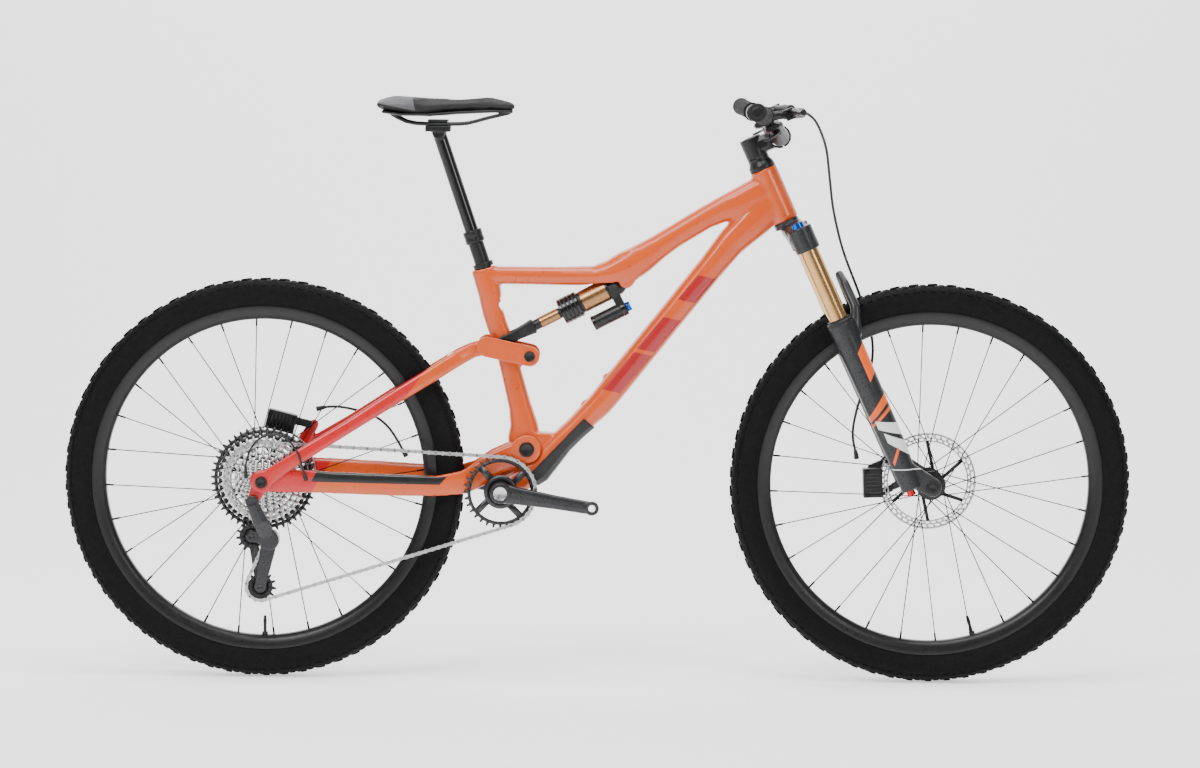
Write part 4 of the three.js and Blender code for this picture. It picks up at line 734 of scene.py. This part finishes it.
dial = onFork(forkSet["legAhead"], -forkSet["legSide"], -14)
addPiece("compression_knob", dialMesh("compression", dial, steerAxis, 0.0115, 0.0095, 8), "blue", "compression_dial",
         ["compression_dial"])
dial = onFork(8.7, -forkSet["legSide"], -546.5)
addPiece("rebound_knob", dialMesh("rebound", dial, steerAxis, 0.008, 0.0095, 10), "red", "rebound_dial",
         ["rebound_dial"])
addSoftened("front_axle", "blackMetal", 0.0009, 2, "fork_lowers")
addSoftened("front_caliper", "blackMetal", 0.0012, 4, "fork_lowers")
addSoftened("rear_caliper", "blackMetal", 0.0012, 4, "seatstay")
print("fork made")

# ---- Cockpit ----

addSoftened("headset_cover", "blackMetal", 0.001, 3, "steering")
addSoftened("stem", "blackMetal", 0.0012, 6, "steering")
addSoftened("stem_faceplate", "blackMetal", 0.001, 4, "steering")
addSoftened("handlebar", "blackMetal", 0.0014, 8, "steering")
for name in ("right", "left"):
    addSoftened("brake_body_" + name, "blackMetal", 0.0009, 5, "steering")
    addSoftened("brake_lever_" + name, "blackMetal", 0.0007, 4, "brake_lever_" + name)
addSoftened("shifter_body", "blackPlastic", 0.0008, 5, "steering")
addSoftened("dropper_remote", "blackPlastic", 0.0008, 5, "steering")
addSoftened("shift_lever", "blackPlastic", 0.0006, 4, "shift_lever")
addSoftened("dropper_lever", "blackPlastic", 0.0006, 4, "dropper_lever")

gripSet = {"radius": 0.0158, "bore": 0.0118, "ribs": 21}


def gripMesh(name, inner, outer):
    way = (outer - inner).normalized()
    length = (outer - inner).length
    ribs = gripSet["ribs"]
    outside = [(0.0178, 0), (0.0178, 0.002), (gripSet["radius"], 0.003)]
    start, end = 0.006, length - 0.01
    for i in range(ribs):
        at = start + (end - start) * i / ribs
        pitch = (end - start) / ribs
        outside += [(gripSet["radius"], at), (gripSet["radius"], at + pitch * 0.55),
                    (gripSet["radius"] - 0.0011, at + pitch * 0.65), (gripSet["radius"] - 0.0011, at + pitch * 0.92)]
    outside += [(gripSet["radius"] + 0.0006, end + 0.001), (gripSet["radius"] + 0.0008, length - 0.002),
        (0.0148, length)]
    profile = outside + [(gripSet["bore"], length), (gripSet["bore"], 0)]
    return turnedMesh(name, [(profile, inner, way)], steps=48, angle=25)


def gripEnds(side):
    # Both ends of a grip on the bar's outer stretch, which runs from its bend to its tip.
    bend, tip = Vector((38, 200, 192)), Vector((20, 390, 214))
    ends = []
    for y in (260, 388):
        at = bend + (tip - bend) * ((y - bend.y) / (tip.y - bend.y))
        ends.append(onFork(at.x, side * y, at.z))
    return ends


for side, name in ((-1, "right"), (1, "left")):
    inner, outer = gripEnds(side)
    addPiece("grip_sleeve_" + name, gripMesh("grip", inner, outer), "gripRubber", "steering",
             ["grip_" + name])
    bm = bmesh.new()
    way = (outer - inner).normalized()
    addRod(bm, outer - way * 0.001, outer + way * 0.0018, 0.0125, 0.011, segments=32)
    addPiece("bar_plug_" + name, sharpened(meshOf(bm, "barPlug")), "blackPlastic", "steering")
print("cockpit made")

# ---- Seat post and saddle ----

postAxis = jointAxis["post_slide"]
seatTop = Vector((crankCentre.x - 34.5 * mm, 0, crankCentre.z + 410 * mm))

outerTube = [(r * mm, z * mm) for r, z in (
    (13.3, -45), (14.3, -45), (14.3, 47), (15.2, 48), (17.4, 49), (17.8, 50), (17.8, 57), (17.2, 58), (17.2, 60),
    (17.8, 61), (17.8, 69), (17, 71), (15, 72), (13.3, 72))]
mesh = turnedMesh("postOuter", [(outerTube, seatTop, postAxis)])
addPiece("post_outer_tube", mesh, "blackMetal", "frame", ["post_outer"])
innerTube = [(r * mm, z * mm) for r, z in ((11, 20), (12.5, 21), (12.5, 258), (11, 259))]
mesh = turnedMesh("postInner", [(innerTube, seatTop, postAxis)])
addPiece("post_inner_tube", mesh, "blackGloss", "post_inner")
addSoftened("post_inner", "blackMetal", 0.0012, 5, "post_inner", name="post_head")


def inflated(mesh, most):
    # The padding's skin swells a little under its own pressure. No point moves further than the given distance.
    before = [v.co.copy() for v in mesh.vertices]
    loose = bpy.data.objects.new("loose_pad", mesh)
    bpy.context.scene.collection.objects.link(loose)
    cloth = loose.modifiers.new("cloth", "CLOTH")
    cloth.settings.use_pressure = True
    cloth.settings.uniform_pressure_force = 4
    cloth.settings.effector_weights.gravity = 0
    cloth.point_cache.frame_start = 1
    cloth.point_cache.frame_end = 20
    for number in range(1, 21):
        bpy.context.scene.frame_set(number)
    swollen = bakedMesh(loose)
    bpy.context.scene.frame_set(1)
    for v, old in zip(swollen.vertices, before):
        moved = v.co - old
        if moved.length > most:
            v.co = old + moved * (most / moved.length)
    return swollen


def saddlePad():
    mesh = softened("saddle_pad", 0.0045, 8)
    low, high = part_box("saddle_pad")
    middle = (low + high) / 2
    for v in mesh.vertices:
        # Start a little small
        v.co = middle + (v.co - middle) * 0.975
    mesh = inflated(mesh, 0.005)
    for v in mesh.vertices:
        along = (v.co.x - low.x) / (high.x - low.x)
        over = max(0, (v.co.z - middle.z) / (high.z - low.z) * 2)
        groove = math.exp(-((v.co.y / 0.0095) ** 2)) * over
        stretch = max(0, math.sin(math.pi * min(1, max(0, (along - 0.12) / 0.7))))
        v.co.z -= 0.005 * groove * stretch
        v.co.z += 0.0025 * over * math.exp(-(((abs(v.co.y) - 0.028) / 0.018) ** 2)) * (1 - along)
        # Two stitched seams that run from the tail to the nose
        seam = 0.012 + 0.03 * (1 - along)
        v.co.z -= 0.0012 * over * math.exp(-(((abs(v.co.y) - seam) / 0.0025) ** 2))
    pad = addPiece("saddle_cover", mesh, "saddle", "post_inner", ["saddle_pad"])
    subdivision = pad.modifiers.new("fine", "SUBSURF")
    subdivision.levels = 1
    subdivision.render_levels = 1
    patch = finishes["saddle"]
    paintOver(patch, inside(patch, pastLine(patch, (low.x + 0.075, middle.z), (-1, -0.25)),
                            pastLine(patch, (low.x + 0.02, middle.z + 0.002), (0.2, 1))), (0.09, 0.09, 0.095))


saddlePad()
addSoftened("saddle_base", "blackPlastic", 0.0012, 4, "post_inner")
print("saddle made")

# ---- Drive ----

driveSet = {
    "pitch": 12.7 * mm,
    "ringTeeth": 32,
    "ringSide": -49 * mm,
    "cogs": [10, 12, 14, 16, 18, 21, 24, 28, 34, 39, 43, 47],
    "firstCog": -70 * mm,
    "cogStep": 3.6 * mm,
    "gear": 8,
    "pulleyTeeth": 13,
}
chainSide = driveSet["firstCog"] + driveSet["gear"] * driveSet["cogStep"]
guide, tension = jointPlace["guide_pulley_spin"], jointPlace["tension_pulley_spin"]


def pitchRadius(teeth):
    return driveSet["pitch"] / 2 / math.sin(math.pi / teeth)


def toothedShape(teeth, steps):
    # Teeth between the chain's rollers.
    def extra(i):
        part = (i / steps * teeth) % 1
        rise = max(0, math.cos(2 * math.pi * part)) ** 0.7
        return -0.0038 + 0.0072 * rise
    return extra


def addCog(bm, teeth, place, rim, thickness=0.0018):
    steps = teeth * 8
    radius = pitchRadius(teeth)
    addRing(bm, radius - 0.0038 - rim, radius, thickness, place, steps=steps, shape=toothedShape(teeth, steps))


def cassetteMesh(name, places, arms):
    bm = bmesh.new()
    for i in places:
        teeth = driveSet["cogs"][i]
        place = rearHub + acrossBike * (driveSet["firstCog"] + i * driveSet["cogStep"])
        addCog(bm, teeth, place, rim=0.0065 if teeth > 16 else 0.004)
        inside = pitchRadius(teeth) - 0.0045
        if teeth > 18 and arms:
            addArms(bm, 8, 0.018, inside, 0.0045, 0.0016, place, slant=0.25, start=0.1 * i)
    return meshOf(bm, name)


addPiece("cassette_cogs", cassetteMesh("cogs", range(0, 10), True), "steel", "cassette",
    ["cassette"])
addPiece("cassette_large_cogs", cassetteMesh("largeCogs", range(10, 12), True), "darkMetal", "cassette")
bodyLength = (driveSet["firstCog"] - 0.0014, driveSet["firstCog"] + 11 * driveSet["cogStep"] + 0.001)
carrier = [(0.0105, bodyLength[0]), (0.014, bodyLength[0]), (0.014, bodyLength[0] + 0.006), (0.0185,
    bodyLength[0] + 0.012),
           (0.0185, bodyLength[1]), (0.0105, bodyLength[1])]
addPiece("cassette_carrier", turnedMesh("carrier", [(carrier, rearHub, acrossBike)]), "darkMetal", "cassette")


def chainringMesh():
    bm = bmesh.new()
    place = crankCentre + acrossBike * driveSet["ringSide"]
    addCog(bm, driveSet["ringTeeth"], place, rim=0.0062, thickness=0.0022)
    addRing(bm, 0.0203, 0.031, 0.004, place, steps=64)
    addArms(bm, 4, 0.027, pitchRadius(driveSet["ringTeeth"]) - 0.007, 0.012, 0.0035, place, slant=0.1, start=0.6)
    return meshOf(bm, "chainring")


addPiece("chainring_toothed", chainringMesh(), "darkMetal", "crank", ["chainring"])
addSoftened("crank_right", "darkMetal", 0.0013, 7, "crank")
addSoftened("crank_left", "darkMetal", 0.0013, 7, "crank")
bm = bmesh.new()
for side in (-1, 1):
    addBolt(bm, crankCentre + acrossBike * side * 0.081, acrossBike * side, 0.0135, 0.004)
addPiece("crank_caps", sharpened(meshOf(bm, "crankCaps")), "steel", "crank")


def pulleyMesh(name, place):
    bm = bmesh.new()
    addCog(bm, driveSet["pulleyTeeth"], place, rim=0.011, thickness=0.0023)
    addRing(bm, 0.0042, 0.012, 0.0056, place, steps=40)
    return meshOf(bm, name)


for name, place in (("guide_pulley", guide), ("tension_pulley", tension)):
    at = Vector((place.x, chainSide, place.z))
    addPiece(name + "_wheel", pulleyMesh(name, at), "blackPlastic", name, [name])
addSoftened("derailleur_body", "darkMetal", 0.001, 7, "swingarm")
addSoftened("derailleur_cage", "darkMetal", 0.0006, 2, "derailleur_cage")


def chainRoute():
    # Arcs round the four wheels and the straight runs between them. A negative radius turns the other way.
    wheels = [
        (crankCentre, pitchRadius(driveSet["ringTeeth"])),
        (rearHub, pitchRadius(driveSet["cogs"][driveSet["gear"]])),
        (guide, -pitchRadius(driveSet["pulleyTeeth"])),
        (tension, pitchRadius(driveSet["pulleyTeeth"])),
    ]
    count = len(wheels)
    ways = []
    for i, (at, radius) in enumerate(wheels):
        nextAt, nextRadius = wheels[(i + 1) % count]
        way = math.atan2(nextAt.z - at.z, nextAt.x - at.x)
        ways.append(way - math.asin((nextRadius - radius) / math.hypot(nextAt.x - at.x, nextAt.z - at.z)))
    points = []
    for i, (at, radius) in enumerate(wheels):
        quarter = -math.pi / 2 if radius > 0 else math.pi / 2
        arrive, leave = ways[i - 1] + quarter, ways[i] + quarter
        turn = (leave - arrive) % (2 * math.pi) if radius > 0 else -((arrive - leave) % (2 * math.pi))
        steps = max(2, int(abs(turn * radius) / 0.002))
        for k in range(steps + 1):
            angle = arrive + turn * k / steps
            side = driveSet["ringSide"] if i == 0 else chainSide
            points.append((i, Vector((at.x + abs(radius) * math.cos(angle), side,
                at.z + abs(radius) * math.sin(angle)))))
    return points


def chainLinks():
    points = chainRoute()
    loop = points + [points[0]]
    lengths = [(b[1] - a[1]).length for a, b in zip(loop, loop[1:])]
    total = sum(lengths)
    count = 2 * round(total / driveSet["pitch"] / 2)
    places, walked, k = [], 0.0, 0
    for i in range(count):
        goal = total * i / count
        while walked + lengths[k] < goal:
            walked += lengths[k]
            k += 1
        share = (goal - walked) / lengths[k]
        wheel = loop[k][0] if loop[k][0] == loop[k + 1][0] else loop[k][0] + 0.5
        places.append((wheel, loop[k][1].lerp(loop[k + 1][1], share)))
    return places


def addPlate(bm, first, second, side, radius, thickness):
    # Two round ends joined by a slightly narrower waist.
    for at in (first, second):
        bmesh.ops.create_cone(bm, cap_ends=True, segments=12, radius1=radius, radius2=radius, depth=thickness,
                              matrix=standing(at + acrossBike * side, acrossBike))
    way = second - first
    turn = Matrix.Rotation(-math.atan2(way.z, way.x), 4, "Y")
    matrix = Matrix.Translation((first + second) / 2 + acrossBike * side) @ turn
    addBox(bm, (0, 0, 0), (way.length, thickness * 0.96, radius * 1.5), matrix)


def chainPieces():
    places = chainLinks()
    count = len(places)
    runs = {"chain_main": [], "chain_lower": [], "chain_cage": [], "chain_drop": []}
    for i in range(count):
        wheel, at = places[i]
        nextAt = places[(i + 1) % count][1]
        # Wheels in order: ring 0, cassette 1, guide pulley 2, tension pulley 3.
        if 2 <= wheel <= 3:
            run = "chain_cage"
        elif 1 < wheel < 2:
            run = "chain_drop"
        elif wheel > 3 and at.x < -0.46:
            run = "chain_lower"
        else:
            run = "chain_main"
        runs[run].append((i, at, nextAt))
    for name, links in runs.items():
        bm = bmesh.new()
        for i, at, nextAt in links:
            outer = i % 2 == 0
            for side in (-1, 1):
                addPlate(bm, at, nextAt, side * (0.0027 if outer else 0.0018), 0.0038 if outer else 0.0036, 0.0008)
            addRod(bm, at - acrossBike * (0.0031 if outer else 0.0014),
                at + acrossBike * (0.0031 if outer else 0.0014),
                   0.0017 if outer else 0.0036, segments=10)
            addRod(bm, at - acrossBike * 0.0014, at + acrossBike * 0.0014, 0.0037, segments=10)
        mesh = meshOf(bm, name)
        sharpened(mesh, 40)
        rides = "derailleur_cage" if name == "chain_cage" else None
        piece = addPiece(name, mesh, "chainSteel", rides, ["chain"] if name == "chain_main" else [])
        if name == "chain_main":
            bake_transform(piece)
        if name == "chain_lower":
            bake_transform(piece)
        if name == "chain_drop":
            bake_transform(piece)


chainPieces()
print("drive made")

# ---- Shock ----

shockEye = jointPlace["shock_swing"]
shockWay = -jointAxis["shock_slide"]
shockDown = Vector((-shockWay.z, 0, shockWay.x)).normalized()
if shockDown.z > 0:
    shockDown = -shockDown


def onShock(s, down=0.0, y=0.0):
    # Millimetres from the front eye towards the rear one, and away from the top tube.
    return shockEye + shockWay * (s * mm) + shockDown * (down * mm) + acrossBike * (y * mm)


def shockPart(name, profile, finish, body, down=0.0, stands=()):
    points = [(r * mm, s * mm) for r, s in profile]
    mesh = turnedMesh(name, [(points, onShock(0, down), shockWay)], steps=64)
    return addPiece(name, mesh, finish, body, stands)


addSoftened("shock_body", "blackMetal", 0.001, 4, "shock_body")
shockPart("shock_can_sleeve", [(19.6, 40), (20.7, 41), (20.7, 90), (19.6, 91)], "bronze", "shock_body")
collarRings = []
for start, radius in ((97, 24.6), (105, 25), (113, 25), (121, 24.8), (128, 24.6)):
    collarRings += [(radius - 1.2, start), (radius, start + 0.8), (radius, start + 4.6), (radius - 1.2, start + 5.4)]
shockPart("shock_collar_rings", [(22, 97)] + collarRings + [(22, 133.4)], "blackGloss", "shock_body")
shockPart("shock_shaft_sleeve", [(9.4, 138), (10.9, 139), (10.9, 176), (9.4, 177)], "bronze", "shock_shaft")
for start, name in ((26, "front"), (84, "rear")):
    cap = [(1, start), (13.2, start), (14.2, start + 1), (14.2, start + 5), (13.2, start + 6), (1, start + 6)]
    shockPart("reservoir_band_" + name, cap, "blackGloss", "shock_body", down=45)
addSoftened("shock_shaft", "blackMetal", 0.001, 5, "shock_shaft")
addSoftened("shock_lever", "blue", 0.0007, 3, "shock_lever")
print("shock made")


def addCaps(name, spots, body, finish="blackMetal"):
    # Bolt heads on the outer faces of a piece: (place, CAD piece, side, radius, height).
    bm = bmesh.new()
    for place, node, side, radius, height in spots:
        low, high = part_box(node)
        y = low.y if side < 0 else high.y
        addBolt(bm, (place.x, y + side * height * mm * 0.3, place.z), acrossBike * side, radius * mm, height * mm)
    addPiece(name, sharpened(meshOf(bm, name)), finish, body)


pivots = {name: jointPlace[name + "_swing"] for name in ("swingarm", "rocker", "seatstay", "shock")}
addCaps("main_pivot_caps", [(pivots["swingarm"], "main_pivot_axle", s, 11.5, 3) for s in (-1, 1)], "frame")
addCaps("rocker_caps", [(pivots[n], "rocker_link", s, 10, 3) for n in ("rocker", "seatstay") for s in (-1, 1)],
    "rocker")
addCaps("rear_axle_caps", [(rearHub, "rear_axle", s, 7, 2) for s in (-1, 1)], "swingarm")
addCaps("front_axle_caps", [(frontHub, "front_axle", s, 7.5, 2) for s in (-1, 1)], "fork_lowers")


def addBoot(name, points, body, radius):
    # A tapered sleeve where a hose leaves its fitting.
    bm = bmesh.new()
    first, second = Vector(points[0]), Vector(points[1])
    way = (second - first).normalized()
    addRod(bm, first - way * 0.003, first + way * 0.0065, radius * 2, radius * 1.7, segments=20)
    addRod(bm, first + way * 0.006, first + way * 0.015, radius * 1.7, radius * 1.15, segments=20)
    addPiece(name, sharpened(meshOf(bm, name)), "hose", body)


housingPoints = [rearHub + Vector(p) for p in housingRoute]
addBoot("front_hose_boot", frontHoseRoute, "steering", hoseSet["hose"])
addBoot("front_hose_foot", frontHoseRoute[::-1], "fork_lowers", hoseSet["hose"])
addBoot("rear_hose_boot", fromRear, "seatstay", hoseSet["hose"])
addBoot("rear_hose_foot", fromRear[::-1], "swingarm", hoseSet["hose"])
addBoot("housing_boot", housingPoints, "swingarm", hoseSet["housing"])
addBoot("housing_foot", housingPoints[::-1], "swingarm", hoseSet["housing"])


def addCaliperFins(name, axle, angle, inner, outer, body):
    # Cooling ribs on both faces of a caliper and its two bolts, measured from the axle along the caliper's own angle.
    around = Matrix.Translation(axle) @ Matrix.Rotation(-math.radians(angle), 4, "Y")
    bm = bmesh.new()
    for i in range(6):
        for y in (inner, outer):
            addBox(bm, (0.102, y * mm, -0.0175 + 0.007 * i), (0.026, 0.0022, 0.0024), around)
    for along in (-0.0215, 0.0215):
        for y, side in ((inner, -1), (outer, 1)):
            addBolt(bm, around @ Vector((0.112, y * mm, along)), acrossBike * side, 0.004, 0.003)
    addPiece(name, sharpened(meshOf(bm, name)), "blackGloss", body)


addCaliperFins("front_caliper_fins", frontHub, 182.4, 26.5, 56.5, "fork_lowers")
addCaliperFins("rear_caliper_fins", rearHub, 76, 45.8, 69.8, "seatstay")
addCaps("derailleur_caps", [(guide, "derailleur_cage", -1, 5, 2), (tension, "derailleur_cage", -1, 5, 2)],
        "derailleur_cage", "darkMetal")
addSoftened("rear_axle", "blackMetal", 0.0009, 2, "swingarm")
addSoftened("main_pivot_axle", "blackMetal", 0.0009, 2, "frame")

# ---- Floor and light ----

stageSet = {"wall": 2.6, "halfWidth": 9, "front": -9, "height": 6, "bend": 1.6}


def makeStage():
    # A floor that bends up into a wall behind the bike
    bm = bmesh.new()
    corner = stageSet["wall"]
    side = stageSet["halfWidth"]
    verts = [bm.verts.new((side, y, z)) for y, z in ((stageSet["front"], 0), (corner, 0), (corner,
        stageSet["height"]))]
    edges = [bm.edges.new(pair) for pair in zip(verts, verts[1:])]
    bmesh.ops.bevel(bm, geom=[verts[1]], offset=stageSet["bend"], affect="VERTICES", segments=24, profile=0.5,
                    material=-1)
    swept = bmesh.ops.extrude_edge_only(bm, edges=bm.edges[:])["geom"]
    bmesh.ops.translate(bm, verts=[g for g in swept if isinstance(g, bmesh.types.BMVert)], vec=(-2 * side, 0, 0))
    mesh = meshOf(bm, "floor")
    mesh.polygons.foreach_set("use_smooth", [True] * len(mesh.polygons))
    floor = bpy.data.objects.new("floor", mesh)
    bpy.context.scene.collection.objects.link(floor)
    finish = Finish("floor_white", (0.9, 0.9, 0.9), 0.9)
    finish.roughen(finish.spread(finish.noise(3), 0.85, 0.95))
    finish.shader.inputs["Emission Color"].default_value = (1, 1, 1, 1)
    finish.shader.inputs["Emission Strength"].default_value = 0.72
    mesh.materials.append(finish.material)
    world = bpy.data.worlds.new("world")
    world.use_nodes = True
    world.node_tree.nodes["Background"].inputs["Color"].default_value = (1, 1, 1, 1)
    world.node_tree.nodes["Background"].inputs["Strength"].default_value = 0.34
    bpy.context.scene.world = world
    lights = (
        ("key", (-1.8, -2.8, 3.2), (0, 0, 0.5), 1.6, 105),
        ("fill", (2.8, -3.4, 2.2), (0, 0, 0.5), 1.2, 42),
        ("wall", (0, -0.5, 4.5), (0, 2.6, 1.2), 3.0, 260),
    )
    for name, place, target, size, power in lights:
        data = bpy.data.lights.new(name, "AREA")
        data.size = size
        data.energy = power
        light = bpy.data.objects.new(name, data)
        bpy.context.scene.collection.objects.link(light)
        aim = Vector(target) - Vector(place)
        light.matrix_world = Matrix.Translation(Vector(place)) @ aim.to_track_quat("-Z", "Y").to_matrix().to_4x4()


makeStage()
print("stage made")
